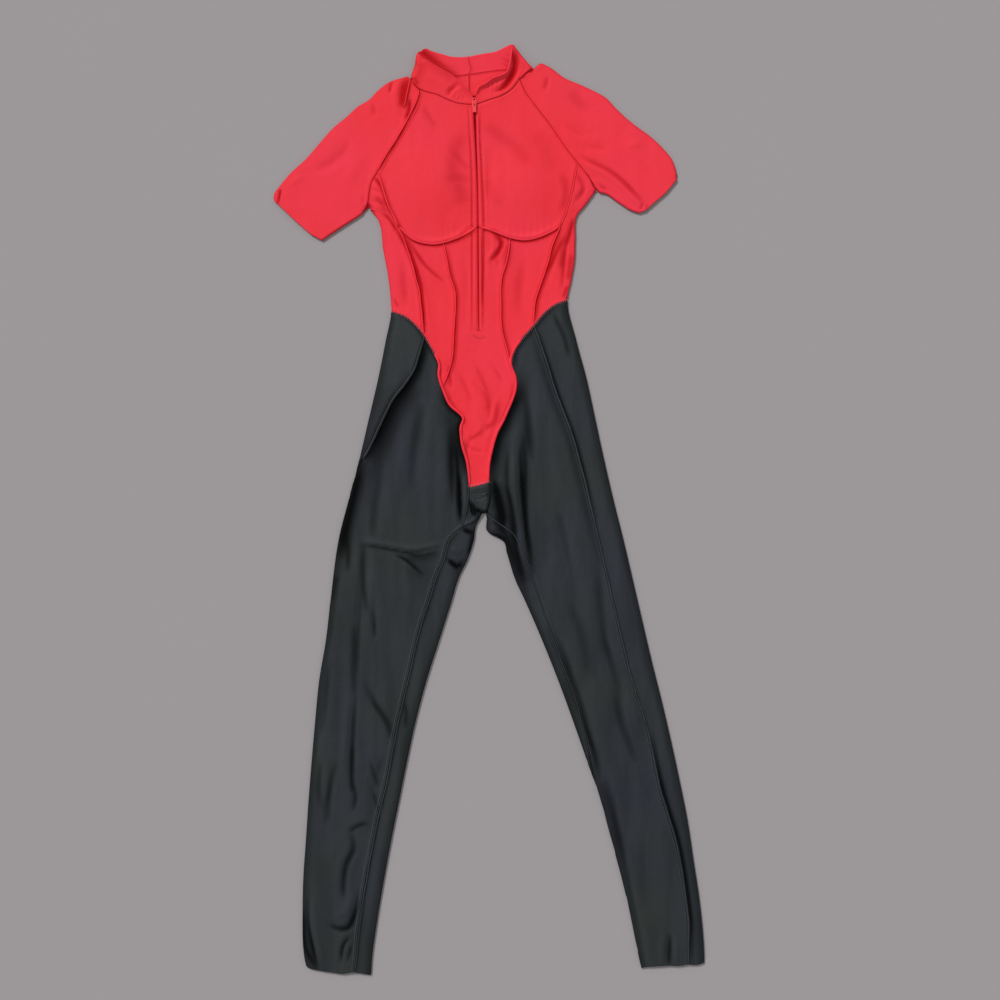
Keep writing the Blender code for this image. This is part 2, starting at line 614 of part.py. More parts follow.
def make_side_panels(red):
    hip_back = curve_through(HIP_BACK)
    raglan_left = curve_through(RAGLAN_LEFT, RAGLAN_STEP)
    raglan_right = curve_through(RAGLAN_RIGHT, RAGLAN_STEP)
    raglan_left_back = curve_through(RAGLAN_LEFT_BACK, RAGLAN_STEP)
    raglan_right_back = curve_through(RAGLAN_RIGHT_BACK, RAGLAN_STEP)
    left = TORSO.points(curve_through(OUTER_LEFT), "front", lap=1)
    left += TORSO.points(stretch(curve_through(HIP_LEFT), OUTER_LEFT[-1], HIP_LEFT[0]), "front", lap=1)
    left += TORSO.points(stretch(hip_back, HIP_BACK[0], SIDE_LEFT_BACK[-1]), "back")
    left += TORSO.points(curve_through(SIDE_LEFT_BACK)[::-1], "back")
    left += TORSO.points(stretch(raglan_left_back, SIDE_LEFT_BACK[0], RAGLAN_LEFT_BACK[-1]), "back")
    left += TORSO.points([LEFT_ARMPIT_BACK], "back")
    left += TORSO.points([LEFT_ARMPIT], "front", lap=1)
    left += TORSO.points(stretch(raglan_left, RAGLAN_LEFT[-1], OUTER_LEFT[0]), "front", lap=1)
    make_panel("front_side_left", TORSO, left, TORSO_ROW, red)
    right = TORSO.points(curve_through(OUTER_RIGHT), "front")
    right += TORSO.points(stretch(curve_through(HIP_RIGHT), OUTER_RIGHT[-1], HIP_RIGHT[0]), "front")
    right += TORSO.points(stretch(hip_back, HIP_BACK[-1], SIDE_RIGHT_BACK[-1]), "back")
    right += TORSO.points(curve_through(SIDE_RIGHT_BACK)[::-1], "back")
    right += TORSO.points(stretch(raglan_right_back, SIDE_RIGHT_BACK[0], RAGLAN_RIGHT_BACK[-1]), "back")
    right += TORSO.points([RIGHT_ARMPIT_BACK], "back")
    right += TORSO.points([RIGHT_ARMPIT], "front")
    right += TORSO.points(stretch(raglan_right, RAGLAN_RIGHT[-1], OUTER_RIGHT[0]), "front")
    make_panel("front_side_right", TORSO, right, TORSO_ROW, red)


def make_back_panels(red):
    neck = curve_through(NECK_BACK)
    centre = curve_through(CENTRE_BACK)
    hip = curve_through(HIP_BACK)
    for name, raglan_rows, side_rows in (
        ("back_left", RAGLAN_LEFT_BACK, SIDE_LEFT_BACK),
        ("back_right", RAGLAN_RIGHT_BACK, SIDE_RIGHT_BACK),
    ):
        outline = stretch(neck, raglan_rows[0], CENTRE_BACK[0])
        outline += stretch(centre, CENTRE_BACK[0], WAIST_BACK)
        outline += stretch(hip, WAIST_BACK, side_rows[-1])
        outline += curve_through(side_rows)[::-1]
        outline += stretch(curve_through(raglan_rows, RAGLAN_STEP), side_rows[0], raglan_rows[0])
        make_panel(name, TORSO, TORSO.points(outline, "back"), TORSO_ROW, red)


def make_sleeve(name, tube, neck, neck_back, raglan, raglan_back, pit, pit_back, hem, red):
    """A raglan sleeve: its front, round the top fold to its back, with the underarm seam in the lower fold."""
    front_seam, back_seam = 1.5, -2.5
    outline = tube.points(neck, "front")
    outline += tube.points(neck_back, "back", lap=-1)
    outline += tube.points(raglan_back, "back", lap=-1)
    outline += tube.points([pit_back], "back", lap=-1)
    pit_along = tube.points([pit], "front")[0][1]
    seam_top = pit_along + PIT_DROP
    outline += [(-2.0, seam_top), (back_seam, seam_top), (back_seam, hem[-1][1])]
    hem_points = [tube.world(across, along) for across, along in hem]
    outline += tube.points(hem_points[::-1], "back", lap=-1)
    outline += tube.points(hem_points, "front")
    outline += [(front_seam, hem[-1][1]), (front_seam, seam_top), (1.0, seam_top)]
    outline += tube.points([pit], "front")
    outline += tube.points(raglan[::-1], "front")
    make_panel(name, tube, outline, SLEEVE_ROW, red)


def make_sleeves(red):
    neck = curve_through(NECK_LEFT)
    neck_back = curve_through(NECK_BACK)
    make_sleeve(
        "sleeve_left", LEFT_SLEEVE,
        stretch(neck, RAGLAN_LEFT[0], NECK_LEFT[0]),
        stretch(neck_back, NECK_BACK[0], RAGLAN_LEFT_BACK[0]),
        curve_through(RAGLAN_LEFT, RAGLAN_STEP), curve_through(RAGLAN_LEFT_BACK, RAGLAN_STEP),
        LEFT_SLEEVE_PIT, LEFT_SLEEVE_PIT_BACK, LEFT_CUFF, red,
    )
    neck = curve_through(NECK_RIGHT)
    make_sleeve(
        "sleeve_right", RIGHT_SLEEVE,
        stretch(neck, RAGLAN_RIGHT[0], NECK_RIGHT[-1]),
        stretch(neck_back, NECK_BACK[-1], RAGLAN_RIGHT_BACK[0]),
        curve_through(RAGLAN_RIGHT, RAGLAN_STEP), curve_through(RAGLAN_RIGHT_BACK, RAGLAN_STEP),
        RIGHT_SLEEVE_PIT, RIGHT_SLEEVE_PIT_BACK, RIGHT_CUFF, red,
    )


def make_left_leg(black):
    hip = curve_through(HIP_LEFT)
    side = curve_through(SIDE_LEFT)
    behind = curve_through(SIDE_LEFT_BEHIND)
    inseam = curve_through(INSEAM_LEFT)
    hem = curve_through(LEG_HEM_LEFT)
    front = LEFT_LEG.points(stretch(hip, SIDE_LEFT[0], HIP_LEFT[-1]), "front")
    front += LEFT_LEG.points(curve_through(GUSSET_LEFT), "front")
    front += LEFT_LEG.points(inseam, "front")
    front += LEFT_LEG.points(stretch(hem, INSEAM_LEFT[-1], LEG_HEM_LEFT[0]), "front")
    front += LEFT_LEG.points(stretch(hem, LEG_HEM_LEFT[0], SIDE_LEFT_BEHIND[-1]), "back", lap=-1)
    front += LEFT_LEG.points(behind[::-1], "back", lap=-1)
    front += LEFT_LEG.points(side[::-1], "front")
    make_panel("leg_front_left", LEFT_LEG, front, LEG_ROW, black)
    back = LEFT_LEG.points(stretch(hip, HIP_LEFT[0], SIDE_LEFT[0]), "front", lap=1)
    back += LEFT_LEG.points(side, "front", lap=1)
    back += LEFT_LEG.points(behind, "back")
    back += LEFT_LEG.points(stretch(hem, SIDE_LEFT_BEHIND[-1], LEG_HEM_LEFT[-1]), "back")
    back += LEFT_LEG.points(stretch(hem, LEG_HEM_LEFT[-1], INSEAM_LEFT[-1]), "front")
    back += LEFT_LEG.points(inseam[::-1], "front")
    back += LEFT_LEG.points(stretch(curve_through(CENTRE_BACK), CENTRE_BACK[-1], WAIST_BACK), "back")
    back += LEFT_LEG.points(stretch(curve_through(HIP_BACK), WAIST_BACK, HIP_BACK[0]), "back")
    make_panel("leg_back_left", LEFT_LEG, back, LEG_ROW, black)


def make_right_leg(black):
    hip = curve_through(HIP_RIGHT)
    side = curve_through(SIDE_RIGHT)
    inseam = curve_through(INSEAM_RIGHT)
    behind = curve_through(INSEAM_RIGHT_BEHIND)
    hem = curve_through(LEG_HEM_RIGHT)
    front = RIGHT_LEG.points(stretch(hip, SIDE_RIGHT[0], HIP_RIGHT[-1]), "front")
    front += RIGHT_LEG.points(curve_through(GUSSET_RIGHT), "front")
    front += RIGHT_LEG.points(inseam, "front")
    front += RIGHT_LEG.points(behind, "back", lap=-1)
    front += RIGHT_LEG.points(stretch(hem, INSEAM_RIGHT_BEHIND[-1], LEG_HEM_RIGHT[0]), "back", lap=-1)
    front += RIGHT_LEG.points(stretch(hem, LEG_HEM_RIGHT[0], SIDE_RIGHT[-1]), "front")
    front += RIGHT_LEG.points(side[::-1], "front")
    make_panel("leg_front_right", RIGHT_LEG, front, LEG_ROW, black)
    back = RIGHT_LEG.points(stretch(hip, SIDE_RIGHT[0], HIP_RIGHT[0]), "front")
    back += RIGHT_LEG.points(stretch(curve_through(HIP_BACK), HIP_BACK[-1], WAIST_BACK), "back")
    back += RIGHT_LEG.points(stretch(curve_through(CENTRE_BACK), WAIST_BACK, CENTRE_BACK[-1]), "back")
    back += RIGHT_LEG.points(inseam, "front", lap=1)
    back += RIGHT_LEG.points(behind, "back")
    back += RIGHT_LEG.points(stretch(hem, INSEAM_RIGHT_BEHIND[-1], LEG_HEM_RIGHT[-1]), "back")
    back += RIGHT_LEG.points(stretch(hem, LEG_HEM_RIGHT[-1], SIDE_RIGHT[-1]), "front")
    back += RIGHT_LEG.points(side[::-1], "front")
    make_panel("leg_back_right", RIGHT_LEG, back, LEG_ROW, black)


def gather_wave(up):
    return GATHER_HEIGHT / 2 * math.sin(2 * math.pi * up / GATHER_PITCH)


def make_gusset(black):
    outline = curve_through(POINT_FOOT)
    outline += curve_through(GUSSET_RIGHT)
    outline += curve_through(GUSSET_FOOT)
    outline += curve_through(GUSSET_LEFT)[::-1]
    make_panel("gusset", GUSSET, GUSSET.points(outline, "front"), GATHER_PITCH / 4, black, gather_wave)


def make_strip(name, near, far, floor, thick, material):
    """A flat strip beside the zip line, from its outline extruded both ways."""
    line = curve_through(ZIP_LINE, step=30.0)
    foot = ZIP_END[1]
    shape = bpy.data.curves.new(name, "CURVE")
    shape.dimensions = "2D"
    shape.fill_mode = "BOTH"
    shape.extrude = thick / 2 * MM
    sides = [laid(x + near, up) for x, up in line if up >= foot]
    sides += [laid(x + far, up) for x, up in line[::-1] if up >= foot]
    spline = shape.splines.new("POLY")
    spline.points.add(len(sides) - 1)
    for point, place in zip(spline.points, sides):
        point.co = (*place, 1.0)
    spline.use_cyclic_u = True
    shape.materials.append(material)
    strip = bpy.data.objects.new(name, shape)
    strip.location.z = (floor + thick / 2) * MM
    bpy.data.collections["Jumpsuit"].objects.link(strip)
    return strip


def make_block(name, size, place, collection, bevel=0.0):
    """A box of a size in millimetres, centred on a place in metres, with its corners rounded."""
    bm = bmesh.new()
    bmesh.ops.create_cube(bm, size=1.0)
    bmesh.ops.scale(bm, vec=[side * MM for side in size], verts=bm.verts)
    if bevel:
        upright = [e for e in bm.edges if abs(e.verts[0].co.z - e.verts[1].co.z) > bevel * MM]
        bmesh.ops.bevel(bm, geom=upright, offset=bevel * MM, segments=3, affect="EDGES", profile=0.5)
    mesh = bpy.data.meshes.new(name)
    bm.to_mesh(mesh)
    bm.free()
    block = bpy.data.objects.new(name, mesh)
    block.location = place
    bpy.data.collections[collection].objects.link(block)
    return block


def hide_cutter(cutter):
    cutter.hide_render = True
    cutter.display_type = "WIRE"


def combine(target, other, operation):
    hide_cutter(other)
    modifier = target.modifiers.new(operation.title(), "BOOLEAN")
    modifier.operation = operation
    modifier.solver = "EXACT"
    modifier.object = other


def make_zip(tape_material, hard_material):
    inner = COIL_WIDTH / 2 + COIL_GAP
    make_strip("zip_tape_left", -inner - TAPE_WIDTH, -inner, TAPE_FLOOR, TAPE_THICK, tape_material)
    make_strip("zip_tape_right", inner, inner + TAPE_WIDTH, TAPE_FLOOR, TAPE_THICK, tape_material)
    make_strip("zip_coil", -COIL_WIDTH / 2, COIL_WIDTH / 2, TAPE_FLOOR, COIL_THICK, hard_material)
    zip_x = min(curve_through(ZIP_LINE), key=lambda point: abs(point[1] - SLIDER_UP))[0]
    top = SLIDER_FLOOR + SLIDER_THICK
    slider = make_block(
        "zip_slider", (SLIDER_WIDTH, SLIDER_LONG, SLIDER_THICK),
        laid(zip_x, SLIDER_UP, SLIDER_FLOOR + SLIDER_THICK / 2), "Jumpsuit", bevel=2.2,
    )
    neck_tall = SLIDER_FLOOR + SLIDER_THICK / 2 - NECK_FLOOR
    neck = make_block(
        "slider_neck", (NECK_WIDE, NECK_LONG, neck_tall),
        laid(zip_x, SLIDER_UP, NECK_FLOOR + neck_tall / 2), "Cutters",
    )
    combine(slider, neck, "UNION")
    bridge = make_block(
        "slider_bridge", (BRIDGE_WIDE, BRIDGE_LONG, BRIDGE_TALL + OVERCUT),
        laid(zip_x, SLIDER_UP, top + (BRIDGE_TALL - OVERCUT) / 2), "Cutters",
    )
    combine(slider, bridge, "UNION")
    window = make_block(
        "bridge_window", (BRIDGE_WIDE + 2 * OVERCUT, BRIDGE_LONG - 2 * BRIDGE_BAR, BRIDGE_TALL - BRIDGE_BAR),
        laid(zip_x, SLIDER_UP, top + (BRIDGE_TALL - BRIDGE_BAR) / 2), "Cutters",
    )
    combine(slider, window, "DIFFERENCE")
    slider.data.materials.append(hard_material)
    hinge = laid(zip_x, SLIDER_UP, top + HINGE_RISE)
    tab = make_block("pull_tab", (TAB_WIDE, TAB_LONG, TAB_THICK), hinge, "Jumpsuit", bevel=1.2)
    shift = (TAB_BAR - TAB_LONG) / 2 * MM
    for vert in tab.data.vertices:
        vert.co.y += shift
    eye = make_block(
        "tab_eye", (TAB_EYE_WIDE, TAB_EYE_LONG, TAB_THICK + 2 * OVERCUT),
        hinge - Vector((0.0, (TAB_BAR + TAB_EYE_LONG) / 2 * MM, 0.0)), "Cutters",
    )
    combine(tab, eye, "DIFFERENCE")
    tab.data.materials.append(hard_material)


def main():
    clear_scene()
    red = make_material("red knit", RED, 0.75)
    black = make_material("black knit", BLACK, 0.7)
    tape = make_material("zip tape", ZIP_RED, 0.8)
    hard = make_material("zip plastic", ZIP_RED, 0.4)
    make_collar(red)
    make_bust_panels(red)
    make_front_panels(red)
    make_side_panels(red)
    make_back_panels(red)
    make_sleeves(red)
    make_left_leg(black)
    make_right_leg(black)
    make_gusset(black)
    make_zip(tape, hard)


main()
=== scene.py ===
"""Looks of the workout jumpsuit: knit panels, seams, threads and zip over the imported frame.

Tables are in millimetres: x from the centre line of the laid garment, up from the lowest hem.
Left and right are as seen from above.
"""

import logging
import math
from dataclasses import dataclass, field
from enum import Enum

import bpy
import numpy as np
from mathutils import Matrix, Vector, geometry, kdtree, noise


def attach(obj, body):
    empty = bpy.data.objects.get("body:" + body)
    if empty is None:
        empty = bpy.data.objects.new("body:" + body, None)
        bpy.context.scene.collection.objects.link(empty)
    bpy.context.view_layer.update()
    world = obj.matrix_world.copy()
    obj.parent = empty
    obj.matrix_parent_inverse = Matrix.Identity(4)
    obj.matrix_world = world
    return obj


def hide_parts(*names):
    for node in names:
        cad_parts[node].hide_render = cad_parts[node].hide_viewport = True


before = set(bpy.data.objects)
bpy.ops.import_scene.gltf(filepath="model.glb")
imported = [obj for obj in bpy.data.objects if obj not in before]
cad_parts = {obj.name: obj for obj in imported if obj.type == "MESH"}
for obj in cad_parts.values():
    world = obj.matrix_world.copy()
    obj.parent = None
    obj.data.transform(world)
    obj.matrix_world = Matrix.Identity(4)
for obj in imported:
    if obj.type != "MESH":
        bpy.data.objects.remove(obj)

LOG = logging.getLogger("jumpsuit")
FLOOR_NAME = "floor"
RED, BLACK = "red_knit", "black_knit"

MM = 0.001
LENGTH = 1394.0
CLOTH = 0.9
FOLD_RADIUS = 1.7
COLLAR_RADIUS = 4.0
BACK_REST = 0.55
FRONT_REST = 4.2
FRONT_LOWEST = 2.2
FOLD_BLEND = 9.0

# Steps and counts of points, in millimetres where they are lengths.
SEAM_STEP = 3.0
LINE_STEP = 5.0
RAILS = (1.2, 2.6, 4.4)
RAIL_CLEAR = 0.9
GRID_CLEAR = 0.6
FOLD_ROW_CLEAR = 0.8
TORSO_CELL = 2.6
LEG_CELL = 3.0
BACK_CELL = 9.0
GUSSET_CELL = 1.4
COLLAR_CELL = 2.2
FOLD_COLUMNS = 4
EDGE_SAMPLES = 7
CROSSING_POINTS = 32
UNDERARM_POINTS = 40
SAME_POINT = 0.4
ON_FRONT = (0.001, 0.999)
CUT_ACCURACY = 1e-4
TINY = 1e-6

# How far creases and painted shades reach, over their width, and how they fade to their ends.
CREASE_REACH = 3.2
CREASE_FADE = 4.2
SHADE_REACH = 2.4
SHADE_FADE = 6.0
LEAST_FADE = 0.05

# Sections of creases, as (middle, spread, height) over the half width and the height.
SHOULDERS = (1.9, 0.8, 0.28)
LAP_CREST = (1.0, 1.4, 0.62)
LAP_DIP = (-0.45, 0.4, 0.55)

# The section of a seam: the crown beside it and the groove in it.
CROWN_AT = 3.4
CROWN_WIDTH = 2.2
GROOVE_WIDTH = 1.1
FREE_CLEAR = 2.0

# Where painted shade darkens the knit: depth under rest, seam grooves and the steep side of a painted shade
# line.
PAINTED_SHADE_FROM = 0.3
PAINTED_SHADE_SPAN = 1.9
GROOVE_SHADE_FULL = 0.8
GROOVE_PAINTED_SHADE = 0.9
STEEP_SIDE = 4.0
FACING = 0.5

# Hollows of the back layer over the floor.
BACK_HOLLOW = 0.9
BACK_HOLLOW_FROM = 0.1

Row = tuple[float, float]
Rows = tuple[Row, ...]
Colour = tuple[float, float, float]
Socket = bpy.types.NodeSocket

# Edges of the laid garment, as rows of (up, x).
LEFT_EDGE = (
    (1400, -198), (1198, -198), (1158, -190), (1150, -182), (1144, -177), (1131, -166), (1086, -158),
    (1041, -150), (996, -146), (951, -154), (891, -166), (831, -180), (771, -194), (711, -210),
    (651, -225), (561, -237), (501, -244), (441, -254), (381, -260), (261, -270), (201, -274),
    (141, -278), (66, -279), (24, -276), (0, -270),
)
RIGHT_EDGE = (
    (1400, 176), (1198, 172), (1180, 164), (1166, 154), (1150, 142), (1138, 132), (1101, 129),
    (1071, 128), (1041, 123), (1010, 117), (951, 130), (891, 146), (831, 159), (771, 172),
    (711, 186), (651, 201), (561, 222), (471, 243), (411, 258), (351, 272), (291, 285),
    (231, 297), (171, 306), (111, 315), (51, 321), (0, 323),
)
LEFT_INNER_EDGE = (
    (1400, 6), (1011, 6), (756, 4), (712, -5), (702, -8.6), (684, -14), (672, -20), (651, -23), (621, -33),
    (594, -46), (561, -56), (501, -75), (441, -94), (381, -110), (321, -123), (261, -135),
    (201, -147), (141, -158), (81, -168), (21, -176), (0, -177),
)
RIGHT_INNER_EDGE = (
    (1400, -30), (1011, -30), (756, -24), (712, -11), (702, -7.8), (684, -3), (670, -4), (662, 0),
    (650, 21), (632, 27), (591, 40), (561, 54), (501, 80), (441, 104), (381, 126), (321, 147), (261, 168),
    (201, 184), (141, 200), (81, 214), (21, 226), (0, 231),
)
COLLAR_LEFT_EDGE = ((1400, -104), (1383, -106), (1374, -109), (1361, -111), (1347, -116), (1300, -122))
COLLAR_RIGHT_EDGE = ((1400, 32), (1390, 38), (1377, 48), (1366, 57), (1356, 66), (1300, 84))

# Sleeve edges in each sleeve's own frame, as rows of (along, across).
LEFT_SLEEVE_TOP = (
    (-20, 2), (4, -4), (28, -20), (49, -26), (68, -28), (86, -35), (108, -39), (136, -45), (167, -47),
    (198, -49), (227, -54), (254, -55), (270, -53), (278, -45), (300, -40),
)
LEFT_SLEEVE_UNDER = (
    (-20, 90), (130, 88), (180, 77), (199, 71), (206, 69), (219, 65), (244, 56), (271, 47), (278, 45),
    (300, 42),
)
RIGHT_SLEEVE_TOP = (
    (-20, -2), (5, -13), (18, -19), (43, -26), (65, -38), (87, -49), (104, -56), (124, -58), (146, -61),
    (168, -66), (189, -72), (213, -76), (234, -77), (250, -73), (265, -65), (270, -60), (290, -55),
)
RIGHT_SLEEVE_UNDER = (
    (-20, 90), (130, 84), (185, 58), (206, 44), (216, 34), (237, 27), (260, 19), (270, 13), (290, 8),
)

# Seams of the front layer, as rows of (x, up).
NECK_LEFT = ((-117, 1341), (-104, 1326), (-78, 1318), (-63, 1311), (-46, 1305), (-24, 1303))
NECK_RIGHT = ((-20, 1303), (0, 1310), (18, 1316), (34, 1326), (46, 1341), (54, 1350), (66, 1356))
COLLAR_TOP_LEFT = (
    (-105, 1378), (-99, 1372), (-86, 1364), (-69, 1354), (-52, 1344), (-39, 1330), (-30, 1323), (-24, 1316),
)
COLLAR_TOP_RIGHT = (
    (-20, 1317), (-16, 1328), (-5, 1334), (6, 1342), (20, 1347), (28, 1354), (32, 1373), (35, 1391),
)
RAGLAN_LEFT = (
    (-104, 1326), (-107, 1311), (-126, 1272), (-142, 1245), (-159, 1218), (-167, 1202),
    (-176, 1186), (-179, 1172), (-181, 1158),
)
RAGLAN_RIGHT = ((46, 1341), (57, 1318), (88, 1277), (117, 1235), (133, 1215), (150, 1194))
OUTER_LEFT = (
    (-167, 1202), (-159, 1176), (-150, 1149), (-135, 1119), (-124, 1092), (-117, 1072),
    (-110, 1046), (-104, 1024), (-102, 1004), (-97, 956),
)
OUTER_RIGHT = (
    (133, 1215), (129, 1196), (123, 1166), (116, 1143), (108, 1122), (95, 1092), (90, 1072),
    (82, 1046), (74, 1024), (69, 1004), (67, 971),
)
BUST_HEM_LEFT = ((-135, 1119), (-113, 1100), (-88, 1094), (-68, 1096), (-44, 1104), (-17, 1119))
BUST_HEM_RIGHT = ((-15, 1119), (6, 1113), (32, 1103), (55, 1100), (78, 1105), (100, 1116), (108, 1122))
INNER_LEFT = (
    (-68, 1096), (-63, 1072), (-58, 1046), (-51, 1024), (-50, 1004), (-52, 964), (-55, 922),
    (-62, 898), (-70, 878),
)
INNER_RIGHT = (
    (32, 1103), (28, 1072), (20, 1046), (18, 1024), (18, 1004), (19, 970), (26, 940), (32, 916), (41, 893),
)
HIP_LEFT = (
    (-146, 993), (-124, 984), (-108, 970), (-97, 956), (-82, 930), (-75, 914), (-76, 898), (-70, 878),
    (-60, 855), (-44, 840), (-39, 832), (-43, 819), (-41, 796), (-34, 770), (-30, 746), (-30, 730),
)
HIP_RIGHT = (
    (117, 1010), (98, 1002), (82, 989), (67, 971), (50, 952), (38, 933), (34, 916), (41, 893),
    (41, 876), (35, 858), (22, 828), (12, 808), (5, 782), (1, 759), (1, 738),
)
SIDE_LEFT = ((-97, 956), (-106, 924), (-117, 897), (-144, 861), (-154, 842), (-176, 795), (-190, 770))
SIDE_LEFT_BEHIND = ((-204, 700), (-212, 651), (-224, 561), (-246, 381), (-258, 261), (-264, 66), (-262, 8))
SIDE_RIGHT = (
    (67, 971), (78, 942), (100, 873), (128, 796), (157, 682), (173, 612), (194, 522), (215, 438),
    (238, 364), (256, 279), (282, 190), (297, 93), (298, 51), (298, 16),
)
POINT_FOOT = ((-30, 730), (-16, 733), (1, 738))
GUSSET_LEFT = ((-30, 730), (-33, 700), (-40, 670))
GUSSET_RIGHT = ((1, 738), (2, 712), (-5, 692))
GUSSET_FOOT = ((-5, 692), (-12, 690), (-24, 677), (-40, 670))
INSEAM_LEFT = (
    (-40, 670), (-60, 651), (-69, 621), (-79, 598), (-94, 550), (-106, 513), (-122, 444), (-138, 375),
    (-154, 291), (-170, 222), (-191, 105), (-200, 18), (-201, 4),
)
INSEAM_RIGHT = (
    (-5, 692), (16, 675), (33, 664), (42, 652), (51, 633), (60, 612), (75, 564), (106, 476),
    (132, 404), (150, 330),
)
INSEAM_RIGHT_BEHIND = ((180, 230), (206, 141), (222, 60), (235, 12))
LEG_HEM_LEFT = ((-276, 12), (-262, 8), (-235, 4), (-219, 2), (-201, 4), (-178, 0))
LEG_HEM_RIGHT = ((229, 10), (235, 12), (263, 14), (286, 14), (298, 16), (309, 15), (323, 18))

# Seams of the back layer, as rows of (x, up).
WAIST_BACK = (-16, 972)
COLLAR_CENTRE_TOP = (-30, 1376)
COLLAR_CENTRE_FOOT = (-30, 1349)
COLLAR_TOP_BACK = (
    (-103, 1384), (-95, 1388), (-86, 1384), (-72, 1380), (-58, 1376), (-44, 1375), (-30, 1376),
    (-9, 1380), (9, 1383), (22, 1389), (32, 1394),
)
NECK_BACK = (
    (-117, 1341), (-100, 1337), (-87, 1338), (-74, 1342), (-58, 1346), (-30, 1349), (-3, 1353),
    (22, 1356), (44, 1356), (66, 1356),
)
RAGLAN_LEFT_BACK = ((-87, 1338), (-104, 1290), (-128, 1245), (-148, 1205), (-168, 1170))
RAGLAN_RIGHT_BACK = ((44, 1356), (66, 1305), (94, 1262), (116, 1225), (142, 1198))
CENTRE_BACK = ((-30, 1349), (-29, 1300), (-27, 1236), (-21, 1086), (-16, 972), (-13, 816), (-8.2, 702))
SIDE_LEFT_BACK = ((-148, 1205), (-140, 1140), (-130, 1070), (-122, 989))
SIDE_RIGHT_BACK = ((116, 1225), (108, 1160), (100, 1080), (92, 1000))
HIP_BACK = ((-146, 993), (-122, 989), (-80, 978), (-16, 972), (62, 988), (92, 1000), (117, 1010))

# Ends of the seams round each armpit, as (x, up), on the body and on the sleeve.
LEFT_ARMPIT = (-178.2, 1148)
LEFT_ARMPIT_BACK = (-175.4, 1148)
RIGHT_ARMPIT = (158, 1177)
RIGHT_ARMPIT_BACK = (150, 1174)
LEFT_SLEEVE_PIT = (-184, 1148)
LEFT_SLEEVE_PIT_BACK = (-180, 1150)
RIGHT_SLEEVE_PIT = (160, 1178)
RIGHT_SLEEVE_PIT_BACK = (154, 1182)
PIT_DROP = 8.0

# Cuffs in each sleeve's frame, as rows of (across, along).
LEFT_CUFF = ((-48, 275), (-34, 276), (-6, 279), (26, 281), (44, 278))
RIGHT_CUFF = ((-64, 267), (-39, 272), (-11, 273), (2, 274), (12, 270))

# The zip line, and the half width of its slit by height, as rows of (up, half).
ZIP_LINE = ((-22, 1317), (-21.5, 1293), (-18, 1202), (-16, 1120), (-15, 964))
SLIT_HALF = ((940, 0.15), (1150, 0.15), (1203, 0.3), (1240, 0.8), (1285, 1.5), (1305, 1.3), (1330, 0.8))
STITCH_LEFT = ((-31, 1303), (-29, 1261), (-26, 1197), (-25.5, 1118), (-25.5, 966))
STITCH_RIGHT = ((-14, 1300), (-13.5, 1251), (-10.5, 1197), (-7.5, 1120), (-9, 966))
TUBE_LEFT = ((-27.3, 1300), (-25.4, 1255), (-22.2, 1197), (-20.8, 1118), (-20.3, 968))
TUBE_RIGHT = ((-16.8, 1300), (-16.0, 1251), (-14.4, 1197), (-11.8, 1120), (-11.8, 968))
ZIP_BAR = ((-24, 958), (-20, 955), (-12, 953.5), (-5, 956))


class Face(Enum):
    """The layer of a flat tube on which a line lies."""

    FRONT = "front"
    BACK = "back"


class Form(Enum):
    """The section of a crease. A lap is high on one side of its line and drops on the other."""

    RIDGE = "ridge"
    TROUGH = "trough"
    LAP = "lap"
    LAP_BACK = "lap_back"


@dataclass(frozen=True)
class Crease:
    """One fold of the cloth: its line as rows of (x, up), half width, height and section."""

    line: Rows
    width: float
    height: float
    form: Form = Form.TROUGH


RIDGE, LAP, LAP_BACK = Form.RIDGE, Form.LAP, Form.LAP_BACK

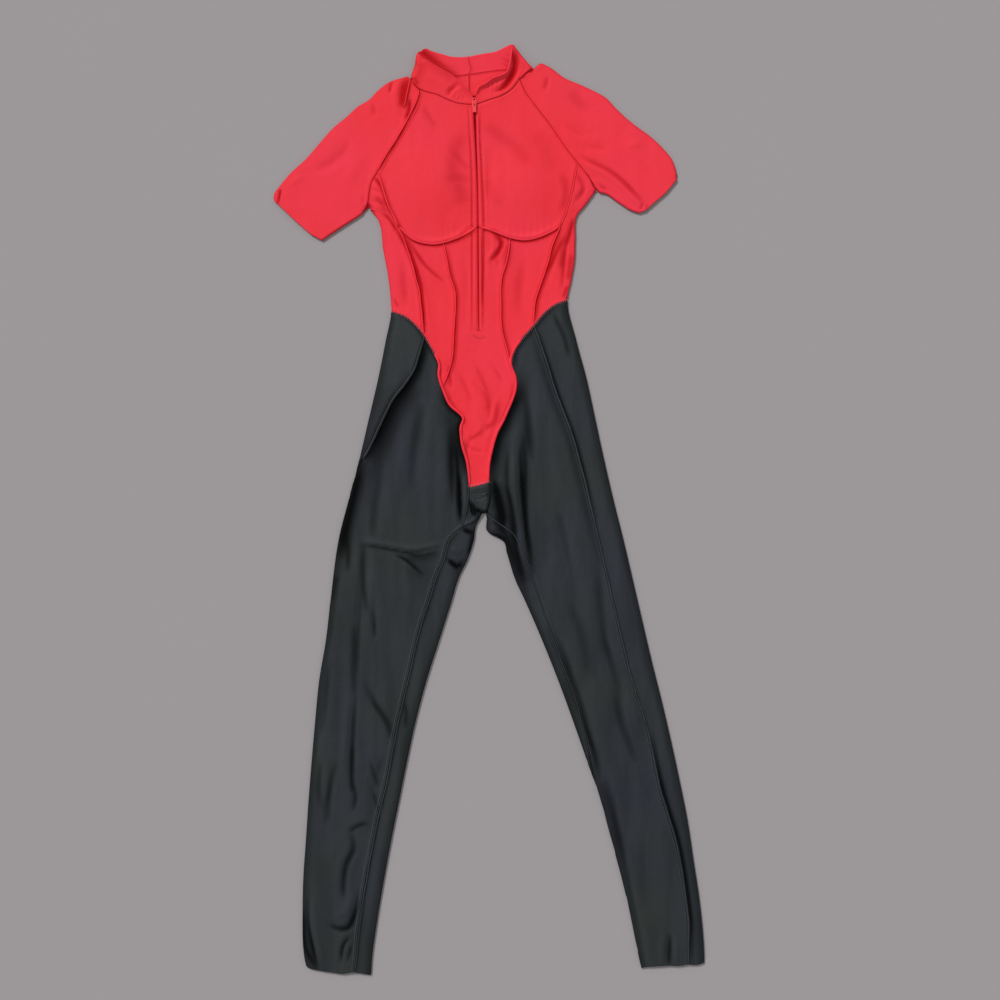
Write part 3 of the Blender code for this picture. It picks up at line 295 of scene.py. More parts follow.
# Creases of the legs.
LEG_CREASES = tuple(Crease(*row) for row in (
    (((-190, 645), (-169, 643), (-138, 637), (-110, 634), (-74, 641)), 3.4, 2.4, LAP),
    (((-138, 629), (-118, 617), (-97, 597)), 3, 1.5),
    (((-172, 546), (-171, 525), (-170, 504)), 3.2, 1.6),
    (((-198, 684), (-198, 640), (-197, 590)), 7, 1.4, RIDGE),
    (((-186, 618), (-191, 560), (-196, 500), (-198, 440)), 6.5, 1.5),
    (((-176, 600), (-178, 560), (-184, 520)), 7, 0.9, RIDGE),
    (((-199, 430), (-204, 360), (-206, 280)), 5, 1.3),
    (((-210, 420), (-215, 350), (-219, 290)), 6, 1, RIDGE),
    (((-188, 440), (-170, 405), (-152, 376), (-147, 350)), 6.5, 1.2),
    (((-176, 446), (-158, 412), (-146, 384)), 6, 0.9, RIDGE),
    (((-251, 320), (-254, 285), (-252, 246)), 5.5, 1.1),
    (((-240, 470), (-245, 410), (-250, 360)), 7, 0.8),
    (((-236, 320), (-240, 270), (-244, 225)), 6, 0.9),
    (((-204, 288), (-200, 266), (-204, 244)), 4.5, 0.9),
    (((-207, 214), (-203, 190), (-214, 164), (-218, 138), (-218, 112)), 5.5, 1.2),
    (((-181, 228), (-194, 224), (-209, 216)), 4, 1),
    (((-194, 122), (-199, 96), (-212, 70), (-240, 74)), 5, 1.4),
    (((-206, 122), (-212, 98), (-228, 86)), 5, 1, RIDGE),
    (((-209, 58), (-219, 42), (-221, 18)), 3.8, 1.4),
    (((-205, 44), (-213, 18)), 3.2, 1.1),
    (((-274, 116), (-272, 80), (-264, 40), (-256, 6)), 5, 2),
    (((-262, 110), (-259, 70), (-250, 30)), 5, 1.1, RIDGE),
    (((-178, 320), (-166, 282)), 3.5, 1),
    (((-175, 278), (-163, 242)), 3.5, 1),
    (((-186, 300), (-176, 266)), 3.5, 0.7, RIDGE),
    (((-55, 820), (-56, 760), (-50, 696)), 8, 1.6),
    (((-43, 750), (-43, 715), (-41, 676)), 3.6, 2.6),
    (((-100, 860), (-112, 790), (-118, 720)), 10, 0.9),
    (((-160, 770), (-170, 700), (-176, 650)), 9, 0.9),
    (((-130, 780), (-142, 710), (-150, 660)), 11, 0.8, RIDGE),
    (((-29, 712), (-27, 698), (-23, 686)), 2.4, 2.4),
    (((-33, 722), (-36, 704), (-38, 684)), 2.6, 1.3, RIDGE),
    (((-24, 712), (-19, 704), (-10, 699), (-2, 694)), 2, 1.6, RIDGE),
    (((-25, 712), (-13, 713), (0, 718)), 1.4, 0.7),
    (((-12, 710), (-5, 704), (-3, 698)), 2.6, 0.9, RIDGE),
    (((-21, 697), (-11, 693), (-2, 689)), 2.2, 2.2),
    (((-26, 727), (-6, 729)), 1.8, 0.9, RIDGE),
    (((-28, 720), (-12, 721), (2, 726)), 1.3, 0.7),
    (((-24, 716), (-8, 717)), 1.2, 0.6),
    (((-36, 696), (-33, 686), (-30, 680)), 1.5, 0.8),
    (((-42, 671), (-34, 676), (-26, 677)), 1.8, 1.6, RIDGE),
    (((-40, 668), (-30, 663), (-22, 661)), 3.2, 2.8),
    (((-56, 640), (-46, 634), (-34, 636)), 6, 1.4, RIDGE),
    (((-62, 622), (-48, 612), (-36, 620)), 3.4, 2.8),
    (((3, 690), (6, 676), (2, 664)), 3.2, 1.4, RIDGE),
    (((10, 662), (20, 658), (27, 652)), 2.6, 1.6, RIDGE),
    (((-50, 612), (-45, 596)), 3, 1.6),
    (((5, 746), (14, 716), (20, 684), (22, 664)), 6.5, 2.6),
    (((1, 665), (10, 668), (18, 665)), 3.4, 1.6, RIDGE),
    (((10, 658), (18, 653)), 2.4, 2),
    (((46, 800), (48, 756), (56, 651), (66, 575)), 5, 2),
    (((30, 790), (27, 740), (36, 681), (47, 621), (58, 561)), 5.5, 1.8),
    (((38, 770), (39, 716), (46, 660), (56, 600)), 5, 1.2, RIDGE),
    (((52, 880), (58, 830), (60, 770)), 9, 1.3),
    (((82, 880), (96, 800), (112, 700)), 12, 0.8, RIDGE),
    (((104, 700), (120, 620), (136, 540)), 9, 0.9),
    (((162, 600), (171, 513), (196, 421)), 8, 0.9),
    (((187, 421), (203, 364), (222, 312)), 8, 0.9),
    (((130, 560), (150, 470), (170, 390)), 10, 0.8, RIDGE),
    (((100, 520), (126, 440), (150, 372)), 6, 1),
    (((174, 300), (194, 205), (215, 90), (223, 50)), 7, 1.1),
    (((232, 240), (246, 160), (250, 100)), 9, 0.7, RIDGE),
    (((271, 64), (270, 40), (269, 14)), 5, 1.3),
    (((260, 60), (258, 14)), 5, 1, RIDGE),
    (((280, 50), (282, 16)), 4, 0.9, RIDGE),
    (((196, 480), (212, 420), (232, 356)), 6, 1.2, RIDGE),
))

# Creases of the body.
BODY_CREASES = tuple(Crease(*row) for row in (
    (STITCH_LEFT, 1.2, 0.7),
    (STITCH_RIGHT, 1.2, 0.7),
    (TUBE_LEFT, 2.3, 1.5, RIDGE),
    (TUBE_RIGHT, 2, 1.5, RIDGE),
    (((-7, 1240), (-4.5, 1180), (-3, 1120)), 2.2, 0.8, RIDGE),
    (BUST_HEM_LEFT, 3.6, 2.4, LAP),
    (BUST_HEM_RIGHT, 3.6, 2.4, LAP),
    (((-20, 1122), (-30, 1116), (-44, 1104)), 3, 1.6),
    (((-143, 1124), (-117, 1076), (-103, 1030), (-94, 962)), 3, 3.4),
    (((-121, 1101), (-96, 1063), (-67, 1037)), 3.6, 1.5),
    (((-104, 1066), (-78, 1038)), 4.5, 0.7, RIDGE),
    (((7, 1114), (17, 1100), (18, 1090), (4, 1068)), 2.8, 2.2),
    (((-1, 1116), (6, 1102), (6, 1086), (-2, 1070)), 2.6, 1.3, RIDGE),
    (((24, 1108), (26, 1092), (16, 1070)), 3, 1, RIDGE),
    (((-8, 1110), (-2, 1080), (0, 1040)), 4, 0.8, RIDGE),
    (((22, 1100), (16, 1084), (13, 1060)), 3, 0.8),
    (((124, 1126), (115, 1086), (110, 1024)), 3.8, 2.2),
    (((129, 1128), (124, 1084), (120, 1040)), 3, 1.6),
    (((116, 1120), (104, 1080), (94, 1030)), 4, 0.9, RIDGE),
    (((52, 1080), (46, 1030), (44, 985)), 9, 0.7),
    (((-130, 1070), (-128, 1030), (-124, 996)), 7, 0.8),
    (((-82, 1020), (-78, 980), (-72, 930)), 8, 0.7),
    (((-36, 1080), (-34, 1020), (-34, 970)), 5, 0.7),
    (((-20, 886), (-3, 862), (1, 828), (-9, 808)), 4.6, 1.1),
    (((5, 914), (22, 884)), 4, 0.8),
    (((14, 866), (4, 834), (-8, 812)), 3.4, 0.8, RIDGE),
    (((-24, 810), (-29, 790), (-8, 782)), 3, 1.1),
    (((-34, 802), (-33, 772)), 2.8, 1.1),
    (((-61, 918), (-56, 878)), 3, 1.4),
    (((-44, 900), (-30, 868), (-22, 842)), 5, 0.8),
    (((-28, 858), (-14, 830), (-14, 806)), 4, 0.8, RIDGE),
    (((16, 842), (4, 800), (-2, 770)), 4, 0.9),
    (((-26, 1201), (-49, 1229), (-57, 1238)), 4.2, 1.2),
    (((-26, 1186), (-44, 1190), (-63, 1190)), 6, 0.4),
    (((-28, 1160), (-50, 1150), (-70, 1134)), 7, 0.4),
    (((-14, 1118), (-13.6, 1060), (-13.6, 975)), 1.2, 0.9, RIDGE),
    (((-6, 1272), (24, 1252), (56, 1226)), 10, 0.7),
    (((110, 1196), (118, 1170), (111, 1142)), 4.6, 1),
    (((-98, 1300), (-86, 1280), (-74, 1262)), 6, 0.6),
    (((-10, 1130), (0, 1180), (2, 1230)), 6, 0.6),
    (((133, 1196), (142, 1177), (128, 1154)), 3.6, 1.1),
    (((146, 1180), (138, 1158)), 3.2, 1),
    (((-173, 1190), (-161, 1181)), 2.8, 1.2),
    (((-176, 1177), (-161, 1168)), 2.8, 1.2),
    (((-174, 1160), (-156, 1150)), 3, 1.4),
    (((-166, 1146), (-150, 1128)), 3.2, 1.4),
    (((-170, 1170), (-156, 1159)), 2.6, 0.9, RIDGE),
    (((-158, 1120), (-152, 1090)), 4, 0.8),
))

# Creases of the sleeves and the collar.
SLEEVE_CREASES = tuple(Crease(*row) for row in (
    (((-128, 1342), (-129, 1322), (-131, 1302)), 5, 1.9),
    (((-117, 1344), (-120, 1331), (-125, 1306), (-127, 1296)), 1.5, 2.6, RIDGE),
    (((-119, 1308), (-120, 1294), (-124, 1281)), 2.6, 1.8),
    (((-146, 1338), (-149, 1320)), 2.6, 1.2),
    (((-109, 1270), (-109, 1236)), 6, 0.5),
    (((-138, 1336), (-140, 1316)), 4, 0.8, RIDGE),
    (((-175, 1306), (-171, 1286)), 4.5, 0.9),
    (((-300, 1184), (-280, 1194)), 5, 0.8, RIDGE),
    (((-312, 1177), (-314, 1164), (-317, 1153)), 2.4, 1.8),
    (((-226, 1116), (-199, 1131), (-184, 1140)), 3.6, 1.6),
    (((-188, 1166), (-185, 1148)), 3, 1.2),
    (((-206, 1250), (-232, 1222), (-262, 1206)), 9, 0.7),
    (((-180, 1240), (-200, 1210), (-222, 1180)), 9, 0.6, RIDGE),
    (((134, 1222), (186, 1198), (234, 1152)), 5, 3, LAP_BACK),
    (((227, 1140), (231, 1154)), 2.6, 2.2),
    (((235, 1142), (237, 1152)), 2.2, 1.6),
    (((163, 1183), (174, 1176), (184, 1164)), 3.2, 1.8),
    (((205, 1240), (230, 1248)), 7, 0.9, RIDGE),
    (((150, 1252), (112, 1271)), 6, 0.8),
    (((140, 1240), (180, 1238)), 7, 0.8),
    (((88, 1344), (83, 1324)), 4, 1),
    (((118, 1322), (150, 1290)), 10, 0.5),
    (((-44, 1333), (-58, 1324), (-60, 1316)), 3.2, 1.7),
    (((-50, 1318), (-51, 1309)), 1.9, 0.8),
    (((-44, 1316), (-45, 1307)), 1.9, 0.8),
    (((-38, 1316), (-39, 1307)), 1.9, 0.7),
    (((-96, 1376), (-104, 1366)), 3, 1.4),
    (COLLAR_TOP_LEFT, 6, 4.2, RIDGE),
    (COLLAR_TOP_RIGHT, 3.4, 4.6, RIDGE),
    (((40, 1378), (38, 1350), (24, 1330), (8, 1322)), 3.4, 3),
    (((48, 1378), (48, 1352), (34, 1332)), 4.5, 1.2, RIDGE),
    (((-2, 1334), (0, 1325)), 1.8, 0.9),
    (((5, 1338), (7, 1327)), 1.8, 0.9),
    (((12, 1341), (13, 1331)), 1.8, 0.8),
))
CREASES = LEG_CREASES + BODY_CREASES + SLEEVE_CREASES

# Domes are rows of (x, up, radius, height). Puckers stand over a hem, as rows of (x, foot, top, height).
DOMES = (
    (-90, 1178, 54, 6.0),
    (60, 1180, 54, 6.0),
    (-64, 962, 50, 1.0),
    (-150, 560, 60, 1.4),
    (140, 560, 60, 1.4),
)
PUCKERS = (
    (-80, 1100, 1120, 0.5), (-72, 1101, 1126, 0.7), (-63, 1103, 1122, 0.6), (-54, 1106, 1134, 0.9),
    (-45, 1109, 1128, 0.8), (-36, 1113, 1130, 0.7), (20, 1114, 1136, 0.6), (29, 1110, 1142, 0.8),
    (40, 1107, 1130, 0.6), (50, 1106, 1150, 0.9), (60, 1107, 1136, 0.7), (70, 1109, 1150, 0.9),
    (80, 1112, 1140, 0.7), (90, 1118, 1144, 0.6),
)
PUCKER_WIDTH = 2.0
PUCKER_FOOT = 4
# Painted shade along the fold edges: its width, and its strength on each knit.
RIM_SHADE_WIDTH = 2.0
RIM_PAINTED_SHADE = {RED: 0.4, BLACK: 0.6}
PUCKER_STRENGTH = 0.55
FINE_WIDTH = 4.7
LEG_STRENGTH = 1.25
LEG_LIFT = 0.9
FINE_ROWS = (-1.6, -0.8, 0.0, 0.8, 1.6)
# Broad unevenness, as rows of (wavelength across, wavelength up, height).
SWELLS = ((46.0, 110.0, 0.55), (19.0, 52.0, 0.22))


def hermite(
    t: np.ndarray | float, start: np.ndarray, leave: np.ndarray, stop: np.ndarray, arrive: np.ndarray
) -> np.ndarray:
    """The cubic from start to stop with slopes leave and arrive, at t from 0 to 1."""
    return (
        start * (2 * t**3 - 3 * t**2 + 1) + leave * (t**3 - 2 * t**2 + t)
        + stop * (3 * t**2 - 2 * t**3) + arrive * (t**3 - t**2)
    )


def resampled(rows: Rows, step: float = SEAM_STEP) -> np.ndarray:
    """Points about one step apart on a smooth curve through rows.

    Args:
        rows: Points to pass through, in millimetres.
        step: Distance between the points made.

    Returns:
        The points, one a row.
    """
    points = np.array(rows, float)
    ends = np.vstack([2 * points[0] - points[1], points, 2 * points[-1] - points[-2]])
    made = [points[0]]
    for before, start, stop, after in zip(ends, ends[1:], ends[2:], ends[3:]):
        pieces = max(1, round(float(np.linalg.norm(stop - start)) / step))
        leave, arrive = (stop - before) / 2, (after - start) / 2
        made += [hermite(piece / pieces, start, leave, stop, arrive) for piece in range(1, pieces + 1)]
    return np.array(made)


def part_of(curve: np.ndarray, start: Row, stop: Row) -> np.ndarray:
    """The stretch of a curve from its point nearest start to its point nearest stop, in that order."""
    first = int(np.argmin(np.linalg.norm(curve - np.array(start), axis=1)))
    last = int(np.argmin(np.linalg.norm(curve - np.array(stop), axis=1)))
    if first <= last:
        return curve[first:last + 1]
    return curve[last:first + 1][::-1]


def moved(rows: Rows, x: float, up: float = 0) -> Rows:
    """Rows shifted by x and up."""
    return tuple((row[0] + x, row[1] + up) for row in rows)


def lefts(run: np.ndarray) -> np.ndarray:
    """Unit directions a quarter turn to the left of each run."""
    run = run / np.maximum(np.linalg.norm(run, axis=1, keepdims=True), TINY)
    return np.column_stack([-run[:, 1], run[:, 0]])


def bell(share: np.ndarray, middle: float, spread: float, tall: float) -> np.ndarray:
    """A bump of that height round the middle."""
    return tall * np.exp(-((share - middle) ** 2) / spread)


def end_fade(share: np.ndarray, steep: float) -> np.ndarray:
    """How strong a line is at each share of its length: full, and weak at both ends."""
    return np.sqrt(np.clip(steep * share * (1.0 - share), LEAST_FADE, 1.0))


def boxed(points: np.ndarray, line: np.ndarray, reach: float) -> np.ndarray:
    """Whether each point lies within reach of the line's box."""
    return ((points > line.min(axis=0) - reach) & (points < line.max(axis=0) + reach)).all(axis=1)


def near_line(points: np.ndarray, line: np.ndarray) -> tuple[np.ndarray, np.ndarray]:
    """Where points lie beside a polyline.

    Args:
        points: Points, one a row.
        line: The polyline, one point a row.

    Returns:
        Distances, positive to the left of the line, and how far along it each nearest point is, 0 to 1.
    """
    best = np.full(len(points), np.inf)
    signed = np.zeros(len(points))
    share = np.zeros(len(points))
    for i, (start, stop) in enumerate(zip(line, line[1:])):
        run = stop - start
        long = max(float(run @ run), 1e-9)
        away = points - start
        t = np.clip(away @ run / long, 0.0, 1.0)
        gap = away - t[:, None] * run
        distance = np.hypot(gap[:, 0], gap[:, 1])
        nearer = distance < best
        side = np.sign(run[0] * away[:, 1] - run[1] * away[:, 0])
        best = np.where(nearer, distance, best)
        signed = np.where(nearer, distance * side, signed)
        share = np.where(nearer, (i + t) / (len(line) - 1), share)
    return signed, share


def gap_to(points: np.ndarray, starts: np.ndarray, stops: np.ndarray, step: float = 0.4) -> np.ndarray:
    """Distances of points from a set of short segments.

    Args:
        points: Points, one a row.
        starts: Where each segment starts.
        stops: Where it ends.
        step: How far apart the segments are sampled.

    Returns:
        The distances.
    """
    samples = []
    for start, stop in zip(starts, stops):
        pieces = max(1, math.ceil(float(np.linalg.norm(stop - start)) / step))
        samples += [start + (stop - start) * i / pieces for i in range(pieces + 1)]
    tree = kdtree.KDTree(max(1, len(samples)))
    for i, (x, y) in enumerate(samples):
        tree.insert((x, y, 0.0), i)
    tree.balance()
    return np.array([tree.find((x, y, 0.0))[2] or 0.0 for x, y in points])


def inside(points: np.ndarray, outline: np.ndarray) -> np.ndarray:
    """Whether each point lies in the closed outline with these corners."""
    within = np.zeros(len(points), bool)
    x, y = points[:, 0], points[:, 1]
    for (x0, y0), (x1, y1) in zip(outline, np.roll(outline, -1, axis=0)):
        if y0 != y1:
            crosses = (y0 > y) != (y1 > y)
            within ^= crosses & (x < x0 + (y - y0) * (x1 - x0) / (y1 - y0))
    return within


class EdgeLine:
    """A smooth fold line, read as across = edge(along)."""

    def __init__(self, rows: Rows) -> None:
        """Takes the rows of (along, across)."""
        ordered = np.array(sorted(rows), float)
        self.along, self.across = ordered[:, 0], ordered[:, 1]
        slopes = np.diff(self.across) / np.diff(self.along)
        middle = np.where(slopes[:-1] * slopes[1:] > 0, (slopes[:-1] + slopes[1:]) / 2, 0.0)
        self.slope = np.concatenate([slopes[:1], middle, slopes[-1:]])

    def __call__(self, along: np.ndarray) -> np.ndarray:
        """Across at each along."""
        i = np.clip(np.searchsorted(self.along, along, side="right") - 1, 0, len(self.along) - 2)
        span = self.along[i + 1] - self.along[i]
        t = np.clip((along - self.along[i]) / span, 0.0, 1.0)
        leave, arrive = self.slope[i] * span, self.slope[i + 1] * span
        return hermite(t, self.across[i], leave, self.across[i + 1], arrive)


class Relief:
    """Heights of domes, creases and puckers over the resting front layer."""

    def __init__(self) -> None:
        """Samples the lines of all creases."""
        self.lines = [
            (crease, resampled(crease.line, LINE_STEP), LEG_STRENGTH if crease in LEG_CREASES else 1.0)
            for crease in CREASES
        ]

    @staticmethod
    def section(form: Form, share: np.ndarray) -> np.ndarray:
        """Height of a crease across its line.

        Args:
            form: The kind of section.
            share: Signed distance from the line over the crease's half width.

        Returns:
            Height over the crease's own height.
        """
        middle = np.exp(-(share**2))
        if form is Form.RIDGE:
            return middle
        if form is Form.TROUGH:
            return bell(np.abs(share), *SHOULDERS) - middle
        turned = share if form is Form.LAP else -share
        return bell(turned, *LAP_CREST) - bell(turned, *LAP_DIP)

    def height(self, place: np.ndarray) -> np.ndarray:
        """Height over rest in millimetres.

        Args:
            place: Points as (x, up), one a row.

        Returns:
            The height at each point.
        """
        height = np.zeros(len(place))
        for x, up, radius, rise in DOMES:
            height += rise * np.exp(-((place[:, 0] - x) ** 2 + (place[:, 1] - up) ** 2) / radius**2)
        for crease, line, strength in self.lines:
            near = np.flatnonzero(boxed(place, line, CREASE_REACH * crease.width))
            if len(near):
                signed, share = near_line(place[near], line)
                tall = strength * crease.height * end_fade(share, CREASE_FADE)
                height[near] += tall * self.section(crease.form, signed / crease.width)
        for x, foot, top, rise in PUCKERS:
            along = np.clip((place[:, 1] - foot) / (top - foot), 0.0, 1.0)
            fade = np.where((place[:, 1] > foot - PUCKER_FOOT) & (place[:, 1] < top), 1.0 - along, 0.0)
            height += PUCKER_STRENGTH * rise * fade * np.exp(-(((place[:, 0] - x) / PUCKER_WIDTH) ** 2))
        return height + self.swell(place)

    @staticmethod
    def swell(place: np.ndarray) -> np.ndarray:
        """Broad unevenness at each (x, up), in millimetres."""
        made = np.zeros(len(place))
        for across, up, rise in SWELLS:
            made += [rise * noise.noise((x / across, y / up, rise)) for x, y in place]
        return made


RELIEF = Relief()


@dataclass
class ClothTube:
    """A flat tube, read by turn: 0 to 1 front, 1 to 2 a fold, 2 to 3 back, 3 to 4 the other fold."""

    low_rows: Rows
    high_rows: Rows
    cell: float
    lift: float = 0.0
    radius: float = FOLD_RADIUS
    origin: Row = (0.0, 0.0)
    along_axis: Row = (0.0, 1.0)
    across_axis: Row = (1.0, 0.0)
    low: EdgeLine = field(init=False)
    high: EdgeLine = field(init=False)

    def __post_init__(self) -> None:
        """Smooths the edges and makes the axes of length 1."""
        self.low, self.high = EdgeLine(self.low_rows), EdgeLine(self.high_rows)
        self.start = np.array(self.origin)
        self.along_unit = np.array(self.along_axis) / np.linalg.norm(self.along_axis)
        self.across_unit = np.array(self.across_axis) / np.linalg.norm(self.across_axis)

    def local(self, place: np.ndarray) -> tuple[np.ndarray, np.ndarray]:
        """Across and along of points given as (x, up)."""
        away = place - self.start
        return away @ self.across_unit, away @ self.along_unit

    def world(self, across: np.ndarray, along: np.ndarray) -> np.ndarray:
        """Points as (x, up) of across and along."""
        return self.start + np.outer(across, self.across_unit) + np.outer(along, self.along_unit)

    def flat_edges(self, along: np.ndarray) -> tuple[np.ndarray, np.ndarray]:
        """Where the flat part of the tube starts and ends, across."""
        return self.low(along) + self.radius, self.high(along) - self.radius

    def on(self, line: np.ndarray, face: Face, lap: int = 0) -> np.ndarray:
        """Turn and along of the points of a line.

        Args:
            line: Points as (x, up).
            face: The layer on which the line lies.
            lap: How many times round the tube the points are counted from.

        Returns:
            Rows of (turn, along).
        """
        across, along = self.local(np.atleast_2d(np.array(line, float)))
        low, high = self.flat_edges(along)
        share = np.clip((across - low) / (high - low), 0.0, 1.0)
        turn = share if face is Face.FRONT else 3.0 - share
        return np.column_stack([turn + 4 * lap, along])

    def seam(self, rows: Rows, *ends: Row, face: Face = Face.FRONT, lap: int = 0) -> np.ndarray:
        """Turn and along of a smooth seam.

        Args:
            rows: The seam, as (x, up).
            ends: Where the stretch starts and stops, or nothing for all of it.
            face: The layer on which it lies.
            lap: How many times round the tube it is counted from.

        Returns:
            Rows of (turn, along).
        """
        curve = resampled(rows)
        return self.on(part_of(curve, *ends) if ends else curve, face, lap)

    def behind(self, rows: Rows, *ends: Row, lap: int = 0) -> np.ndarray:
        """The same as seam, on the back layer."""
        return self.seam(rows, *ends, face=Face.BACK, lap=lap)

    def unrolled(self, turn: np.ndarray, along: np.ndarray) -> np.ndarray:
        """Distance round the tube in millimetres.

        Args:
            turn: Turns.
            along: Places along the tube.

        Returns:
            The distance from the low edge, plus that edge's place across.
        """
        low, high = self.flat_edges(along)
        wide, arc = high - low, math.pi * self.radius
        lap = np.floor(turn / 4.0)
        part = turn - 4.0 * lap
        steps = (wide, arc, wide, arc)
        made = low + lap * 2.0 * (wide + arc)
        for quarter, step in enumerate(steps):
            made = made + np.clip(part - quarter, 0.0, 1.0) * step
        return made

    def flattened(self, rows: np.ndarray, lap: int = 0) -> np.ndarray:
        """Rows of (turn, along), so many laps on, as rows of (distance, along)."""
        return np.column_stack([self.unrolled(rows[:, 0] + 4 * lap, rows[:, 1]), rows[:, 1]])

    def rolled(self, distance: np.ndarray, along: np.ndarray) -> np.ndarray:
        """Turns of distances round the tube, the inverse of unrolled.

        Args:
            distance: Distances as unrolled gives them.
            along: Places along the tube.

        Returns:
            The turns.
        """
        low, high = self.flat_edges(along)
        wide, arc = high - low, math.pi * self.radius
        round_once = 2.0 * (wide + arc)
        lap = np.floor((distance - low) / round_once)
        left = distance - low - lap * round_once
        turn = 4.0 * lap
        for step in (wide, arc, wide, arc):
            turn = turn + np.clip(left / step, 0.0, 1.0)
            left = left - step
        return turn

    def crossing(self, first: np.ndarray, last: np.ndarray) -> np.ndarray:
        """Points of a seam that goes straight over a fold, as the cloth lies unrolled.

        Args:
            first: Turn and along of the seam's first end.
            last: Turn and along of its other end.

        Returns:
            Rows of (turn, along) between the two.
        """
        ends = np.vstack([first, last])
        share = np.linspace(0.0, 1.0, CROSSING_POINTS)[1:-1]
        along = np.interp(share, (0.0, 1.0), ends[:, 1])
        distance = np.interp(share, (0.0, 1.0), self.unrolled(ends[:, 0], ends[:, 1]))
        return np.column_stack([self.rolled(distance, along), along])

    def lattice(self, low_turn: float, high_turn: float, low_along: float, high_along: float) -> np.ndarray:
        """Points all over a stretch of the tube.

        Args:
            low_turn: First turn.
            high_turn: Last turn.
            low_along: First place along.
            high_along: Last place along.

        Returns:
            Rows of (turn, along): fine on the front and the folds, coarse on the back.
        """
        low, high = self.flat_edges(np.linspace(low_along, high_along, EDGE_SAMPLES))
        wide = float(np.max(high - low))
        fine = max(2, round(wide / self.cell))
        coarse = max(2, round(wide / BACK_CELL))
        made = []
        for quarter in range(math.floor(low_turn), math.ceil(high_turn)):
            pieces = (fine, FOLD_COLUMNS, coarse, FOLD_COLUMNS)[quarter % 4]
            step = BACK_CELL if quarter % 4 == 2 else self.cell
            columns = quarter + np.arange(pieces) / pieces
            rows = np.arange(math.floor(low_along / step), math.ceil(high_along / step) + 1) * step
            turn, along = np.meshgrid(columns, rows)
            shift = 0.5 / pieces * (np.arange(len(rows)) % 2)[:, None] * (quarter % 4 == 0)
            made.append(np.column_stack([(turn + shift).ravel(), along.ravel()]))
        return np.vstack(made)

    def front_height(self, place: np.ndarray, reach: np.ndarray) -> np.ndarray:
        """Height of the front layer's middle at (x, up), each so far from the nearer fold."""
        resting = np.maximum(FRONT_REST + self.lift + RELIEF.height(place), FRONT_LOWEST)
        fold_top = BACK_REST + 2 * self.radius
        blend = np.exp(-((np.maximum(reach, 0.0) / FOLD_BLEND) ** 2))
        return resting + (fold_top - resting) * blend

    def top(self, place: np.ndarray) -> np.ndarray:
        """Height of the front layer's upper face at (x, up)."""
        across, along = self.local(place)
        low, high = self.flat_edges(along)
        return self.front_height(place, np.minimum(across - low, high - across)) + CLOTH / 2

    def laid(self, turn: np.ndarray, along: np.ndarray) -> tuple[np.ndarray, np.ndarray]:
        """Where the cloth lies, and which way is out of the tube.

        Args:
            turn: Turns.
            along: Places along.

        Returns:
            Rows of (x, up, z) in millimetres, and rows of unit directions.
        """
        low, high = self.flat_edges(along)
        quarter = np.mod(turn, 4.0)
        front, back = quarter <= 1.0, (quarter >= 2.0) & (quarter <= 3.0)
        at_high = (quarter > 1.0) & (quarter < 2.0)
        across = np.where(front, low + quarter * (high - low), high - (quarter - 2.0) * (high - low))
        swing = math.pi * np.where(at_high, 2.0 - quarter, quarter - 3.0)
        side = np.where(at_high, np.sin(swing), -np.sin(swing))
        side = np.where(front | back, 0.0, side)
        rise = np.where(front, 1.0, np.where(back, -1.0, -np.cos(swing)))
        folded = ~(front | back)
        across = np.where(folded, np.where(at_high, high, low) + self.radius * side, across)
        place = self.world(across, along)
        reach = np.minimum(across - low, high - across)
        z = np.full(len(turn), BACK_REST)
        z[front] = self.front_height(place[front], reach[front])
        z[folded] = BACK_REST + self.radius * (1.0 + rise[folded])
        hollow = BACK_HOLLOW * np.clip(Relief.swell(place[back]) - BACK_HOLLOW_FROM, 0.0, 1.0)
        z[back] += hollow * np.clip(reach[back] / FOLD_BLEND, 0.0, 1.0)
        out = np.column_stack([np.outer(side, self.across_unit), rise])
        return np.column_stack([place, z]), out


TORSO = ClothTube(LEFT_EDGE, RIGHT_EDGE, TORSO_CELL)
GUSSET = ClothTube(LEFT_EDGE, RIGHT_EDGE, GUSSET_CELL, lift=1.6)
LEFT_LEG = ClothTube(LEFT_EDGE, LEFT_INNER_EDGE, LEG_CELL, LEG_LIFT)
RIGHT_LEG = ClothTube(RIGHT_INNER_EDGE, RIGHT_EDGE, LEG_CELL, LEG_LIFT)
COLLAR = ClothTube(COLLAR_LEFT_EDGE, COLLAR_RIGHT_EDGE, COLLAR_CELL, lift=0.5, radius=COLLAR_RADIUS)
LEFT_SLEEVE = ClothTube(
    LEFT_SLEEVE_TOP, LEFT_SLEEVE_UNDER, TORSO_CELL, 0.0, FOLD_RADIUS, (-115.5, 1347.0), (-0.61, -0.79),
    (0.79, -0.61),
)
RIGHT_SLEEVE = ClothTube(
    RIGHT_SLEEVE_TOP, RIGHT_SLEEVE_UNDER, TORSO_CELL, 0.0, FOLD_RADIUS, (66.0, 1360.5), (0.62, -0.785),
    (-0.785, -0.62),
)


def in_metres(points: np.ndarray) -> np.ndarray:
    """Rows of (x, up, z) in millimetres as places in the frame, in metres."""
    return (points - np.array([0.0, LENGTH / 2, 0.0])) * MM


def deselect() -> None:
    """Leaves nothing selected."""
    bpy.ops.object.select_all(action="DESELECT")


def activate(piece: bpy.types.Object) -> None:
    """Selects one piece only."""
    deselect()
    bpy.context.view_layer.objects.active = piece
    piece.select_set(True)


def thickened(piece: bpy.types.Object) -> None:
    """Gives a sheet of triangles the wall of the cloth."""
    solid = piece.modifiers.new("Wall", "SOLIDIFY")
    solid.thickness = CLOTH * MM
    solid.offset = 0.0
    activate(piece)
    bpy.ops.object.modifier_apply(modifier=solid.name)
    deselect()


